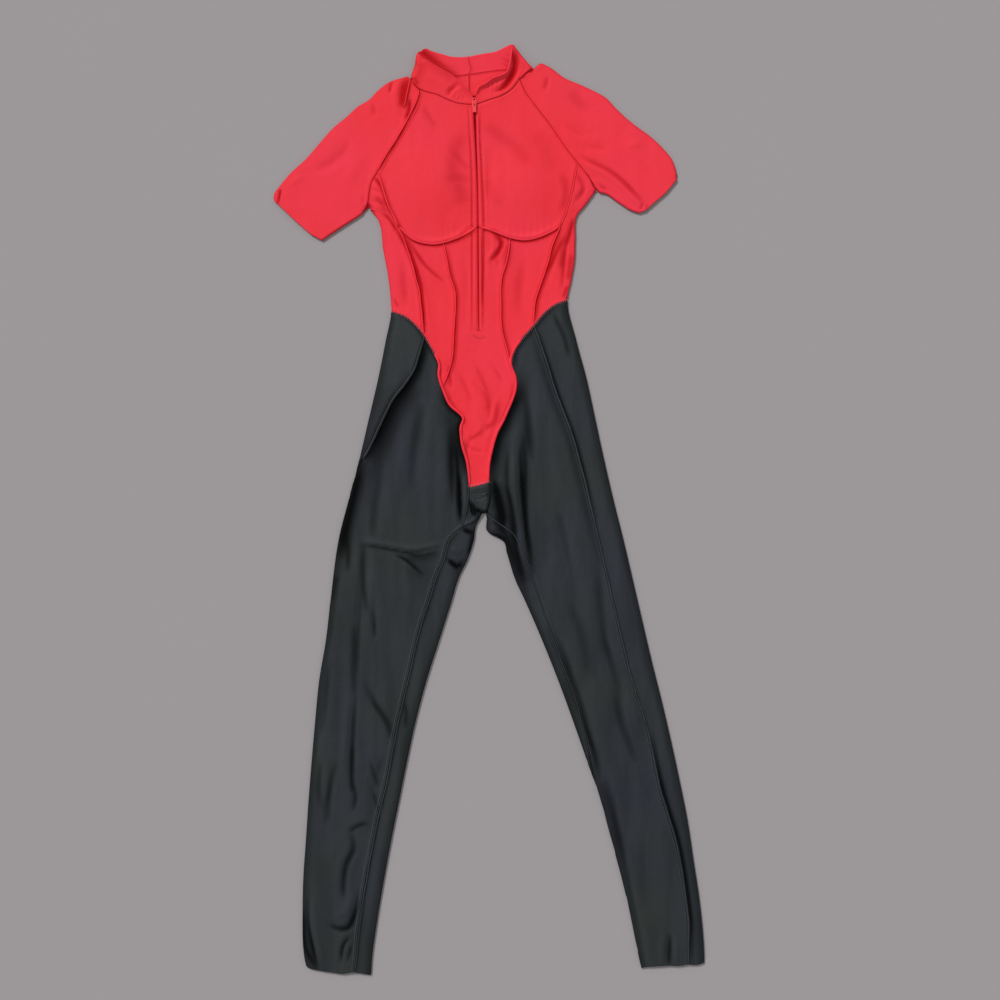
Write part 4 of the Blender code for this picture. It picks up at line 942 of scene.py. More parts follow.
def outwards(piece: bpy.types.Object) -> None:
    """Turns all faces of a closed piece outwards."""
    activate(piece)
    bpy.ops.object.mode_set(mode="EDIT")
    bpy.ops.mesh.select_all(action="SELECT")
    bpy.ops.mesh.normals_make_consistent(inside=False)
    bpy.ops.object.mode_set(mode="OBJECT")
    deselect()


def mesh_piece(
    name: str, points: np.ndarray, faces: list, material: bpy.types.Material
) -> bpy.types.Object:
    """Makes a piece from points and faces.

    Args:
        name: The piece's name.
        points: Rows of (x, up, z) in millimetres.
        faces: Corner numbers of each face.
        material: Its material.

    Returns:
        The new object.
    """
    mesh = bpy.data.meshes.new(name)
    mesh.from_pydata(in_metres(points).tolist(), [], faces)
    mesh.materials.append(material)
    mesh.shade_smooth()
    piece = bpy.data.objects.new(name, mesh)
    bpy.context.scene.collection.objects.link(piece)
    return piece


def write_grain(mesh: bpy.types.Mesh, flat: np.ndarray) -> None:
    """Writes the knit's own coordinates, one row in millimetres a point."""
    corners = np.zeros(len(mesh.loops), np.int32)
    mesh.loops.foreach_get("vertex_index", corners)
    grain = mesh.uv_layers.new(name="grain")
    grain.data.foreach_set("uv", (flat[corners] * MM).ravel())


def taken_shape() -> tuple[np.ndarray, list]:
    """Points and faces of the active object, which is then removed."""
    shape = bpy.context.object
    points = np.array([tuple(v.co) for v in shape.data.vertices])
    faces = [list(face.vertices) for face in shape.data.polygons]
    bpy.ops.object.delete()
    return points, faces


def joined(copies: list[np.ndarray], faces: list) -> tuple[np.ndarray, list]:
    """Points and faces of many copies of one shape with these faces."""
    step = len(copies[0])
    return np.vstack(copies), [[i * step + v for v in face] for i in range(len(copies)) for face in faces]


# Length of one band of a wave texture of scale 1.
WAVE_PERIOD = 2 * math.pi / 20.0


class Recipe:
    """A node material in the making."""

    def __init__(self, name: str) -> None:
        """Starts a material of that name."""
        self.material = bpy.data.materials.new(name)
        self.material.use_nodes = True
        self.tree = self.material.node_tree
        self.where = self.add("TexCoord", {})

    def put(self, node: bpy.types.Node, inputs: dict) -> None:
        """Sets a node's inputs to constants, and links those that are given as sockets."""
        for key, value in inputs.items():
            if isinstance(value, Socket):
                self.tree.links.new(value, node.inputs[key])
            else:
                node.inputs[key].default_value = value

    def shade(self, inputs: dict) -> None:
        """Sets the inputs of the surface's shader."""
        self.put(self.tree.nodes["Principled BSDF"], inputs)

    def add(self, kind: str, inputs: dict) -> bpy.types.Node:
        """Adds a shader node of that kind with these inputs."""
        node = self.tree.nodes.new("ShaderNode" + kind)
        self.put(node, inputs)
        return node

    def noise(self, vector: Socket, scale: float, detail: float) -> Socket:
        """A noise over the vector."""
        return self.add("TexNoise", {"Vector": vector, "Scale": scale, "Detail": detail}).outputs["Fac"]

    def spread(self, value: Socket, inputs: dict) -> Socket:
        """The value mapped from one range to another."""
        return self.add("MapRange", {"Value": value, **inputs}).outputs["Result"]

    def product(self, first: Socket, second: Socket | float) -> Socket:
        """The two multiplied."""
        node = self.add("Math", {0: first, 1: second})
        node.operation = "MULTIPLY"
        return node.outputs[0]

    def mix(self, share: Socket, *colours: Socket | Colour) -> Socket:
        """Mixes two colours, each a socket or red, green and blue, by the share of the second."""
        node = self.tree.nodes.new("ShaderNodeMix")
        node.data_type = "RGBA"
        first, second = ((*value, 1.0) if isinstance(value, tuple) else value for value in colours)
        self.put(node, {"Factor": share, 6: first, 7: second})
        return node.outputs[2]

    def bump(self, height: Socket, strength: float, depth: float, under: dict) -> Socket:
        """A bumped normal, over the normal in under if there is one."""
        inputs = {"Height": height, "Strength": strength, "Distance": depth, **under}
        return self.add("Bump", inputs).outputs["Normal"]


@dataclass(frozen=True)
class KnitFinish:
    """A stretch knit: its colours, gloss, loops, patches and lengthwise streak noise, and the painted shade
    colour mixed into its hollows and along the streak noise.
    """

    name: str
    colour: Colour
    tint: Colour
    # The painted shade colour, and how far the hollow attribute mixes toward it.
    shade_colour: Colour
    roughness: float
    sheen: float
    sheen_tint: Colour
    shade_share: float
    loop_pitch: float = 0.0009
    loop_depth: float = 0.00016
    loop_squash: float = 0.72
    loop_waver: float = 0.6
    loop_strength: float = 0.5
    patch_scale: float = 7.0
    patch_range: Row = (0.36, 0.66)
    # Strength of the painted shade along the lengthwise streak noise.
    streak_shade: float = 0.0
    streak_range: Row = (0.4, 0.68)
    streak_depth: float = 0.0
    streak_strength: float = 0.6
    streak_stretch: Colour = (42.0, 9.0, 42.0)
    crumple_scale: float = 70.0
    crumple_depth: float = 0.0012
    crumple_strength: float = 0.5
    sheen_roughness: float = 0.45
    specular: float = 0.25

    def material(self) -> bpy.types.Material:
        """The finish as a node material."""
        recipe = Recipe(self.name)
        place = recipe.where.outputs["Object"]
        patches = recipe.noise(place, self.patch_scale, 3.0)
        low, high = self.patch_range
        patched = recipe.mix(
            recipe.spread(patches, {"From Min": low, "From Max": high}), self.colour, self.tint
        )
        # Painted shade: the hollow attribute mixes the colour toward the shade colour and takes away the
        # specular gloss.
        hollow = recipe.add("Attribute", {})
        hollow.attribute_name = "hollow"
        share = recipe.product(hollow.outputs["Fac"], self.shade_share)
        # Painted shade of soft lengthwise folds: a drawn-out noise darkens the colour toward the shade
        # colour; the same noise bumps the folds.
        stretch = recipe.add("Mapping", {"Vector": place, "Scale": self.streak_stretch})
        streak = recipe.noise(stretch.outputs["Vector"], 1.0, 3.0)
        low, high = self.streak_range
        streak_shade_share = recipe.spread(streak, {"From Min": low, "From Max": high, "To Max": self.streak_shade})
        streak_shaded = recipe.mix(streak_shade_share, patched, self.shade_colour)
        recipe.shade({
            "Base Color": recipe.mix(share, streak_shaded, self.shade_colour),
            "Roughness": self.roughness,
            "Specular IOR Level": recipe.spread(share, {"To Min": self.specular, "To Max": 0.0}),
            "Sheen Weight": self.sheen,
            "Sheen Roughness": self.sheen_roughness,
            "Sheen Tint": (*self.sheen_tint, 1.0),
            "Normal": self.normal(recipe, streak),
        })
        return recipe.material

    def normal(self, recipe: Recipe, streak: Socket) -> Socket:
        """Knit loops over a faint crumple and soft lengthwise folds.

        Args:
            recipe: The material in the making.
            streak: The noise drawn out lengthwise.

        Returns:
            The socket with the bumped normal.
        """
        waves = []
        for direction, squash in (("X", 1.0), ("Y", self.loop_squash)):
            wave = recipe.add("TexWave", {
                "Vector": recipe.where.outputs["UV"],
                "Scale": WAVE_PERIOD / (self.loop_pitch * squash),
                "Distortion": self.loop_waver,
                "Detail": 1.0,
            })
            wave.bands_direction = direction
            waves.append(wave.outputs["Fac"])
        crumple = recipe.noise(recipe.where.outputs["Object"], self.crumple_scale, 4.0)
        folds = recipe.bump(streak, self.streak_strength, self.streak_depth, {})
        broad = recipe.bump(crumple, self.crumple_strength, self.crumple_depth, {"Normal": folds})
        return recipe.bump(recipe.product(*waves), self.loop_strength, self.loop_depth, {"Normal": broad})


@dataclass(frozen=True)
class PlainFinish:
    """A plain finish with a fine grain, for threads, tape, plastic and the floor."""

    name: str
    colour: Colour
    other: Colour
    roughness: float
    grain_scale: float
    grain_depth: float
    specular: float = 0.3
    grain_strength: float = 0.4

    def material(self) -> bpy.types.Material:
        """The finish as a node material."""
        recipe = Recipe(self.name)
        grain = recipe.noise(recipe.where.outputs["Object"], self.grain_scale, 3.0)
        recipe.shade({
            "Base Color": recipe.mix(grain, self.colour, self.other),
            "Roughness": self.roughness,
            "Specular IOR Level": self.specular,
            "Normal": recipe.bump(grain, self.grain_strength, self.grain_depth, {}),
        })
        return recipe.material


# The third colour of each knit is its painted shade colour for hollows, seams, fold edges and soft
# lengthwise folds.
RED_KNIT = KnitFinish(
    RED, (0.90, 0.026, 0.042), (0.90, 0.030, 0.062), (0.40, 0.0, 0.001), 0.66, 0.05,
    (1.0, 0.35, 0.38), 0.85, streak_shade=0.06, streak_depth=0.0008,
)
BLACK_KNIT = KnitFinish(
    BLACK, (0.020, 0.026, 0.025), (0.021, 0.025, 0.035), (0.0015, 0.0015, 0.0015), 0.6, 0.12,
    (0.55, 0.62, 0.68), 0.95, patch_scale=6.0, streak_shade=0.34, streak_depth=0.0026,
)
RED_THREAD = PlainFinish("red_thread", (0.95, 0.09, 0.11), (0.75, 0.03, 0.05), 0.55, 1800.0, 0.0001)
GREY_THREAD = PlainFinish("grey_thread", (0.17, 0.17, 0.185), (0.09, 0.09, 0.1), 0.55, 1800.0, 0.0001)
PINK_THREAD = PlainFinish("hip_thread", (0.85, 0.36, 0.42), (0.55, 0.18, 0.24), 0.55, 1800.0, 0.0001)
# Tape, coil and teeth are red like the knit; their much darker red is painted shade of the zip slit.
ZIP_TAPE = PlainFinish("zip_tape", (0.36, 0.002, 0.008), (0.24, 0.001, 0.004), 0.8, 1500.0, 0.0002, 0.04)
ZIP_PLASTIC = PlainFinish("zip_plastic", (0.95, 0.075, 0.085), (0.85, 0.05, 0.06), 0.3, 300.0, 0.00003, 0.5)
FLOOR = PlainFinish("floor_paper", (0.36, 0.336, 0.344), (0.355, 0.332, 0.340), 0.95, 3.0, 0.0001, 0.1)


@dataclass
class Palette:
    """The materials, made once."""

    red: bpy.types.Material = field(default_factory=RED_KNIT.material)
    black: bpy.types.Material = field(default_factory=BLACK_KNIT.material)
    red_thread: bpy.types.Material = field(default_factory=RED_THREAD.material)
    grey_thread: bpy.types.Material = field(default_factory=GREY_THREAD.material)
    hip_thread: bpy.types.Material = field(default_factory=PINK_THREAD.material)
    tape: bpy.types.Material = field(default_factory=ZIP_TAPE.material)
    plastic: bpy.types.Material = field(default_factory=ZIP_PLASTIC.material)
    floor: bpy.types.Material = field(default_factory=FLOOR.material)


@dataclass
class Panel:
    """One cut panel of cloth that stands for a node of the frame."""

    node: str
    tube: ClothTube
    outline: list[np.ndarray]
    material: bpy.types.Material
    slot: str
    rests_on: str
    free: tuple[np.ndarray, ...] = ()
    groove: float = 0.8
    crown: float = 0.35

    def border(self) -> np.ndarray:
        """The outline unrolled flat, at even steps and without repeated points."""
        flat = self.tube.flattened(np.vstack(self.outline))
        kept = [flat[0]]
        for point in flat[1:]:
            if np.linalg.norm(point - kept[-1]) > SAME_POINT:
                kept.append(point)
        if np.linalg.norm(kept[0] - kept[-1]) < SAME_POINT:
            kept.pop()
        made = []
        for start, stop in zip(kept, kept[1:] + kept[:1]):
            pieces = max(1, round(float(np.linalg.norm(stop - start)) / SEAM_STEP))
            made += [start + (stop - start) * i / pieces for i in range(pieces)]
        return np.array(made)

    def rails(self, border: np.ndarray, closed: np.ndarray) -> np.ndarray:
        """Points in rows parallel to the border, so that the seam's section is fine enough."""
        turned = np.sum(border[:, 0] * np.roll(border[:, 1], -1) - border[:, 1] * np.roll(border[:, 0], -1))
        inward = lefts(np.roll(border, -1, axis=0) - np.roll(border, 1, axis=0)) * np.sign(turned)
        made = []
        for distance in RAILS:
            shifted = border + inward * distance
            gap = gap_to(shifted, closed[:-1], closed[1:])
            made.append(shifted[inside(shifted, border) & (gap > RAIL_CLEAR * distance)])
        return np.vstack(made)

    def fold_rows(self, border: np.ndarray) -> np.ndarray:
        """Points in rows along the narrow creases, so that their sections are fine enough."""
        made = [np.zeros((0, 2))]
        for crease, line, _ in RELIEF.lines:
            if crease.width > FINE_WIDTH:
                continue
            laid = self.tube.on(line, Face.FRONT)
            laid = laid[(laid[:, 0] > ON_FRONT[0]) & (laid[:, 0] < ON_FRONT[1])]
            if len(laid) < 2:
                continue
            run = np.gradient(self.tube.world(*self.tube.flattened(laid).T), axis=0)
            aside = lefts(np.column_stack([run @ self.tube.across_unit, run @ self.tube.along_unit]))
            for lap in (-1, 0, 1):
                flat = self.tube.flattened(laid, lap)
                made += [flat + aside * row * crease.width for row in FINE_ROWS]
        rows = np.vstack(made)
        rows = rows[((rows > border.min(axis=0)) & (rows < border.max(axis=0))).all(axis=1)]
        return rows[inside(rows, border)]

    def build(self) -> None:
        """Cuts the panel, lays it and gives it its wall and its flat size."""
        border = self.border()
        closed = np.vstack([border, border[:1]])
        rows = np.vstack(self.outline)
        grid = self.tube.lattice(rows[:, 0].min(), rows[:, 0].max(), border[:, 1].min(), border[:, 1].max())
        flat_grid = self.tube.flattened(grid)
        flat_grid = flat_grid[inside(flat_grid, border)]
        gap = gap_to(flat_grid, closed[:-1], closed[1:])
        flat_grid = flat_grid[gap > RAILS[-1] + GRID_CLEAR * self.tube.cell]
        rows = self.fold_rows(border)
        if len(rows):
            rows = rows[gap_to(rows, closed[:-1], closed[1:]) > RAILS[-1] + FOLD_ROW_CLEAR]
        flat = np.vstack([border, self.rails(border, closed), flat_grid, rows])
        edge = list(range(len(border)))
        cut = geometry.delaunay_2d_cdt([Vector(p) for p in flat], [], [edge], 1, CUT_ACCURACY)
        flat = np.array([tuple(p) for p in cut[0]])
        faces = [list(face) for face in cut[2]]
        place, out = self.tube.laid(self.tube.rolled(flat[:, 0], flat[:, 1]), flat[:, 1])
        dip = self.seam_section(flat, closed)
        place = place + out * dip[:, None]
        if np.cross(self.tube.across_unit, self.tube.along_unit) < 0:
            faces = [face[::-1] for face in faces]
        piece = mesh_piece("cloth_" + self.node, place, faces, self.material)
        write_grain(piece.data, flat)
        # The hollow attribute holds the painted shade that the knit material darkens by.
        hollow = piece.data.attributes.new("hollow", "FLOAT", "POINT")
        hollow.data.foreach_set("value", self.depth(place, out, dip).astype(np.float32))
        thickened(piece)
        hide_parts(self.node)
        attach(piece, "garment")

    def seam_section(self, flat: np.ndarray, closed: np.ndarray) -> np.ndarray:
        """How far the cloth dips at its seams and crowns beside them.

        Args:
            flat: Unrolled points of the panel.
            closed: Its closed border.

        Returns:
            Offsets outwards, in millimetres.
        """
        middles = (closed[:-1] + closed[1:]) / 2
        sewn = np.ones(len(middles), bool)
        for line in self.free:
            for face in Face:
                laid = self.tube.on(line, face)
                for lap in (-1, 0, 1):
                    edge = self.tube.flattened(laid, lap)
                    sewn &= gap_to(middles, edge[:-1], edge[1:]) > FREE_CLEAR
        gap = gap_to(flat, closed[:-1][sewn], closed[1:][sewn])
        crown = self.crown * np.exp(-(((gap - CROWN_AT) / CROWN_WIDTH) ** 2))
        return crown - self.groove * np.exp(-((gap / GROOVE_WIDTH) ** 2))

    def depth(self, place: np.ndarray, out: np.ndarray, dip: np.ndarray) -> np.ndarray:
        """How dark the painted shade is at each point: in troughs, seam grooves, along fold edges and along
        the shade lines.

        Args:
            place: Laid points.
            out: Outward directions.
            dip: Offsets of the seams' section.

        Returns:
            0 on open cloth to 1 in the darkest painted shade.
        """
        rest = FRONT_REST + self.tube.lift
        # Painted shade in troughs below rest and in seam grooves.
        depth = np.clip((rest - PAINTED_SHADE_FROM - place[:, 2]) / PAINTED_SHADE_SPAN, 0.0, 1.0) * (out[:, 2] > FACING)
        depth = np.maximum(depth, np.clip(-dip / GROOVE_SHADE_FULL, 0.0, 1.0) * GROOVE_PAINTED_SHADE)
        spot = place[:, :2]
        across, along = self.tube.local(spot)
        reach = np.minimum(across - self.tube.low(along), self.tube.high(along) - across)
        # Painted shade along the fold edges.
        rim_shade = RIM_PAINTED_SHADE[self.slot] * np.exp(-((np.maximum(reach, 0.0) / RIM_SHADE_WIDTH) ** 2))
        left = 1.0 - np.maximum(depth, rim_shade)
        # Painted shade along the lines of the shade tables.
        for shade in SHADES[self.slot]:
            line = resampled(shade.line, LINE_STEP)
            facing = out[:, 2] > FACING if shade.face is Face.FRONT else out[:, 2] < -FACING
            near = np.flatnonzero(boxed(spot, line, SHADE_REACH * shade.width) & facing)
            if len(near):
                signed, share = near_line(spot[near], line)
                if shade.side:
                    signed = np.where(signed * shade.side < 0, signed * STEEP_SIDE, signed)
                falloff = np.exp(-(np.abs(signed / shade.width) ** (3 if shade.side else 2)))
                left[near] *= 1.0 - shade.amount * end_fade(share, SHADE_FADE) * falloff
        return 1.0 - left


@dataclass(frozen=True)
class Shade:
    """A painted shade along a line. Its side is 0 for both, 1 for the left and -1 for the right."""

    line: Rows
    width: float
    amount: float
    side: int = 0
    face: Face = Face.FRONT


# Painted shade on the black knit: shadows beside seams, lips, folds and edges.
BLACK_SHADES = tuple(Shade(*row) for row in (
    (SIDE_LEFT, 10, 1, 1),
    (SIDE_LEFT[2:], 26, 0.75, 1),
    (((-190, 776), (-201, 722), (-212, 676), (-224, 620)), 13, 1),
    (((-228, 600), (-238, 560)), 8, 0.5),
    (((-70, 878), (-60, 855), (-44, 840), (-39, 832), (-43, 819), (-41, 796), (-30, 746)), 8, 0.95, -1),
    (((-60, 850), (-52, 800), (-48, 770)), 12, 0.55),
    (((-50, 800), (-47, 760), (-46, 720), (-44, 680)), 4.2, 1),
    (((41, 893), (41, 876), (35, 858), (22, 828), (12, 808), (5, 782), (1, 759), (1, 738)), 14, 1, 1),
    (((50, 810), (54, 769), (55, 706), (57, 672), (61, 643), (66, 596)), 4.6, 0.9),
    (((6, 738), (12, 718), (18, 695), (22, 672)), 11.5, 1),
    (((25, 734), (33, 706), (39, 672), (40, 655)), 3.4, 0.8),
    (((9, 661), (16, 656), (23, 651)), 3.4, 1),
    (((8, 688), (22, 664), (34, 636), (46, 606), (54, 582)), 10, 0.85),
    (((30, 690), (40, 640), (52, 600)), 3, 0.6),
    (((-4, 660), (12, 654)), 3.5, 0.9),
    (((-188, 643), (-160, 640), (-130, 634), (-104, 630), (-76, 637)), 4.2, 0.55, -1),
    (((-124, 630), (-100, 627), (-76, 634)), 9, 0.5, -1),
    (((-124, 612), (-100, 604), (-82, 606)), 16, 0.22),
    (((-138, 628), (-118, 616), (-97, 596)), 2.2, 0.6),
    (((-188, 648), (-189, 610), (-187, 575), (-182, 543)), 4.6, 0.6),
    (((-213, 652), (-210, 632), (-212, 606)), 4, 0.6),
    (((-172, 544), (-171, 525), (-170, 504)), 2.6, 0.4),
    (((-128, 410), (-124, 392), (-126, 370)), 3.4, 0.6),
    (HIP_LEFT[:6], 2.4, 0.9),
    (HIP_RIGHT[:7], 2.6, 0.95),
    (((-60, 621), (-48, 611), (-40, 617)), 4.2, 1),
    (((-38, 668), (-30, 663), (-22, 662)), 4.6, 1),
    (((-24, 660), (-27, 645), (-31, 630)), 3.2, 0.9),
    (((-27, 709), (-24, 703), (-21, 690), (-19, 684)), 3.6, 1),
    (((-22, 697), (-12, 693), (-1, 688)), 4.6, 1),
    (((-4, 726), (0, 712), (-1, 698)), 3, 0.5),
    (SIDE_LEFT[:6], 13, 0.9, 1),
    (((-112, 885), (-136, 840), (-160, 780), (-176, 735)), 12, 0.35),
    (((-32, 696), (-33, 690)), 1.2, 0.8),
    (((-201, 525), (-202, 480), (-203, 420)), 5, 0.55),
    (((-176, 411), (-158, 390), (-148, 368), (-147, 352)), 4.6, 0.36),
    (((-205, 344), (-206, 310), (-205, 272)), 3, 0.6),
    (((-159, 326), (-168, 300), (-166, 280)), 4.6, 0.3),
    (((-229, 320), (-236, 290), (-243, 255)), 4.5, 0.45),
    (((-179, 226), (-196, 222), (-208, 216)), 4, 0.4),
    (((-203, 190), (-214, 164), (-218, 140), (-218, 116)), 4.8, 0.45),
    (((-196, 104), (-206, 80), (-222, 66)), 5, 0.5),
    (((-236, 73), (-218, 68)), 3.4, 0.4),
    (((-279, 100), (-276, 50), (-268, 26), (-259, 10)), 4.6, 0.9),
    (moved(INSEAM_LEFT, 2.4), 1.9, 1),
    (((91, 516), (107, 476), (126, 423), (153, 346), (165, 298)), 5, 0.9),
    (((170, 290), (186, 236), (200, 180)), 7, 0.45),
    (moved(SIDE_RIGHT[8:], 4.2), 4.2, 1),
    (moved(SIDE_RIGHT[:5], 2.6), 2.8, 0.9),
    (moved(SIDE_RIGHT[:6], -7), 7, 0.45),
    (((162, 600), (171, 513), (180, 470)), 6, 0.4),
    (((120, 560), (140, 500), (148, 450)), 7, 0.35),
    (((271, 52), (270, 16)), 3.6, 0.35),
    (((96, 990), (112, 955), (120, 925)), 3.4, 0.6),
    (((-124, 984), (-108, 970), (-97, 956), (-82, 930), (-75, 914), (-74, 890)), 4, 0.5, -1),
    (((98, 1002), (82, 989), (67, 971), (50, 952), (38, 933), (36, 905)), 6, 0.7, 1),
))

# Painted shade on the red knit: shadows beside seams, lips, folds and inside the collar.
RED_SHADES = tuple(Shade(*row) for row in (
    (((-118, 1343), (-121, 1331), (-126, 1306), (-128, 1296)), 9, 1, -1),
    (((-119, 1312), (-119, 1296), (-124, 1280)), 3.2, 1),
    (((-112, 1344), (-107, 1332)), 2, 0.7),
    (((-146, 1338), (-149, 1322)), 2.2, 0.6),
    (((-98, 1298), (-90, 1284), (-80, 1268)), 5, 0.22),
    (moved(RAGLAN_LEFT[:5], 2.6, -0.8), 2.2, 0.75),
    (moved(RAGLAN_LEFT[2:6], 2.8, -0.8), 2.6, 0.7),
    (RAGLAN_RIGHT, 1.5, 0.8),
    (OUTER_LEFT[:5], 4.4, 0.9, 1),
    (OUTER_LEFT[3:], 5.8, 1, 1),
    (INNER_LEFT, 5.4, 0.9, 1),
    (INNER_RIGHT, 4.8, 0.85, 1),
    (OUTER_RIGHT[4:], 5.6, 1, 1),
    (OUTER_RIGHT[:5], 1.6, 0.7),
    (((126, 1133), (121, 1112), (115, 1090)), 3.2, 1),
    (((113, 1086), (106, 1058)), 4, 0.5),
    (((117, 1032), (111, 1014)), 2.2, 0.8),
    (((-142, 1012), (-136, 1000)), 1.8, 0.6),
    (((-121, 1101), (-96, 1063), (-67, 1037)), 2.6, 0.5),
    (((-172, 1196), (-165, 1186), (-160, 1177)), 1.8, 0.8),
    (((-156, 1140), (-148, 1130), (-138, 1114)), 2.6, 0.9),
    (HIP_LEFT[:6], 1.5, 0.9),
    (HIP_RIGHT[:7], 1.7, 1),
    (((-10.8, 1118), (-10.6, 1060), (-10.8, 1000)), 0.9, 0.9),
    (((-104, 1386), (-97, 1380), (-88, 1372), (-76, 1364)), 7.5, 1, 0, Face.BACK),
    (((-96, 1378), (-76, 1362), (-58, 1350), (-46, 1342)), 6.5, 0.95, 0, Face.BACK),
    (((33, 1382), (31, 1356), (24, 1345), (8, 1340), (-8, 1330)), 5, 0.6, 0, Face.BACK),
    (((35, 1386), (37, 1362), (30, 1345), (17, 1329)), 8, 1, 1),
    (((-38, 1262), (-50, 1235), (-54, 1204), (-44, 1174), (-34, 1150)), 12, 0.34),
    (((-66, 1190), (-46, 1193), (-28, 1188)), 5, 0.2),
    (((-26, 1206), (-40, 1216), (-52, 1232)), 4, 0.25),
    (((-8, 1272), (14, 1257), (40, 1238), (62, 1212)), 10, 0.26),
    (((64, 1262), (84, 1232), (94, 1200)), 15, 0.16),
    (((110, 1198), (117, 1172), (110, 1142)), 6.5, 0.36),
    (((-4, 1190), (6, 1168), (18, 1150)), 9, 0.16),
    (((-138, 1117), (-123, 1091), (-114, 1069), (-104, 1042), (-99, 1022)), 3.2, 1),
    (((7, 1114), (17, 1100), (18, 1090), (4, 1068)), 4.4, 0.9),
    (((31, 1094), (23, 1062)), 2.6, 0.6),
    (((112, 1106), (96, 1070), (86, 1050)), 3.6, 0.9),
    (((124, 1080), (118, 1040)), 4, 0.6),
    (((-20, 912), (2, 860), (-8, 846)), 3.4, 0.35),
    (((14, 858), (8, 828), (-8, 818)), 4.6, 0.5),
    (((-28, 801), (-10, 815)), 2.6, 0.6),
    (((-36, 800), (-32, 770)), 2.2, 0.6),
    (((-66, 880), (-52, 850), (-40, 838), (-36, 822)), 2.4, 0.6),
    (((36, 886), (34, 868), (26, 846), (14, 822)), 2.6, 0.55),
    (((-171, 1192), (-160, 1176), (-152, 1150)), 3.2, 0.6),
    (((-168, 1166), (-154, 1140)), 3.4, 0.5),
    (((132, 1198), (140, 1180), (130, 1158)), 3.4, 0.45),
    (((140, 1222), (186, 1196), (232, 1152)), 6, 0.4, 1),
    (((-312, 1177), (-314, 1164), (-317, 1153)), 2.4, 1),
    (((-186, 1146), (-180, 1150)), 4, 1),
    (STITCH_LEFT, 1.4, 0.9),
    (STITCH_RIGHT, 1.4, 0.9),
    (((-96, 1340), (-78, 1333), (-50, 1325)), 10, 0.15),
    (((-24, 1288), (-21, 1262), (-17, 1200), (-16.5, 1120), (-16.5, 968)), 1, 0.9),
    (moved(BUST_HEM_LEFT, 2, -2.6), 2.2, 1),
    (moved(BUST_HEM_RIGHT, 1, -2.6), 2.2, 1),
))
SHADES = {RED: RED_SHADES, BLACK: BLACK_SHADES}

HEMS = (resampled(LEG_HEM_LEFT), resampled(LEG_HEM_RIGHT))


@dataclass(frozen=True)
class Half:
    """The seams of one half of the body and of its sleeve."""

    side: str
    neck: Rows
    raglan: Rows
    outer: Rows
    hem: Rows
    inner: Rows
    hip: Rows
    raglan_back: Rows
    side_back: Rows
    armpit: Row
    armpit_back: Row
    sleeve: ClothTube
    sleeve_pit: Row
    sleeve_pit_back: Row
    cuff: Rows
    near: int
    far: int


# Near and far are the ends of the neck and the bust hem at the zip and away from it.
LEFT = Half(
    "left", NECK_LEFT, RAGLAN_LEFT, OUTER_LEFT, BUST_HEM_LEFT, INNER_LEFT, HIP_LEFT, RAGLAN_LEFT_BACK,
    SIDE_LEFT_BACK, LEFT_ARMPIT, LEFT_ARMPIT_BACK, LEFT_SLEEVE, LEFT_SLEEVE_PIT, LEFT_SLEEVE_PIT_BACK,
    LEFT_CUFF, -1, 0,
)
RIGHT = Half(
    "right", NECK_RIGHT, RAGLAN_RIGHT, OUTER_RIGHT, BUST_HEM_RIGHT, INNER_RIGHT, HIP_RIGHT,
    RAGLAN_RIGHT_BACK, SIDE_RIGHT_BACK, RIGHT_ARMPIT, RIGHT_ARMPIT_BACK, RIGHT_SLEEVE, RIGHT_SLEEVE_PIT,
    RIGHT_SLEEVE_PIT_BACK, RIGHT_CUFF, 0, -1,
)
HALVES = (LEFT, RIGHT)


@dataclass
class Collar:
    """The stand collar, two halves."""

    palette: Palette
    edges: tuple[Rows, ...] = (COLLAR_TOP_LEFT, COLLAR_TOP_RIGHT, COLLAR_TOP_BACK)
    groove: float = 0.35
    crown: float = 0.1

    def build(self) -> None:
        """Cuts and lays both halves."""
        outlines = {
            "collar_left": [
                COLLAR.seam(NECK_LEFT, lap=1)[::-1],
                COLLAR.behind(NECK_BACK, NECK_BACK[0], COLLAR_CENTRE_FOOT),
                COLLAR.behind(COLLAR_TOP_BACK, COLLAR_CENTRE_TOP, COLLAR_TOP_BACK[0]),
                COLLAR.seam(COLLAR_TOP_LEFT, lap=1),
            ],
            "collar_right": [
                COLLAR.seam(NECK_RIGHT),
                COLLAR.behind(NECK_BACK, NECK_BACK[-1], COLLAR_CENTRE_FOOT),
                COLLAR.behind(COLLAR_TOP_BACK, COLLAR_CENTRE_TOP, COLLAR_TOP_BACK[-1]),
                COLLAR.seam(COLLAR_TOP_RIGHT)[::-1],
            ],
        }
        free = tuple(resampled(rows) for rows in self.edges)
        for name, outline in outlines.items():
            Panel(
                name, COLLAR, outline, self.palette.red, RED, FLOOR_NAME, free, self.groove, self.crown
            ).build()


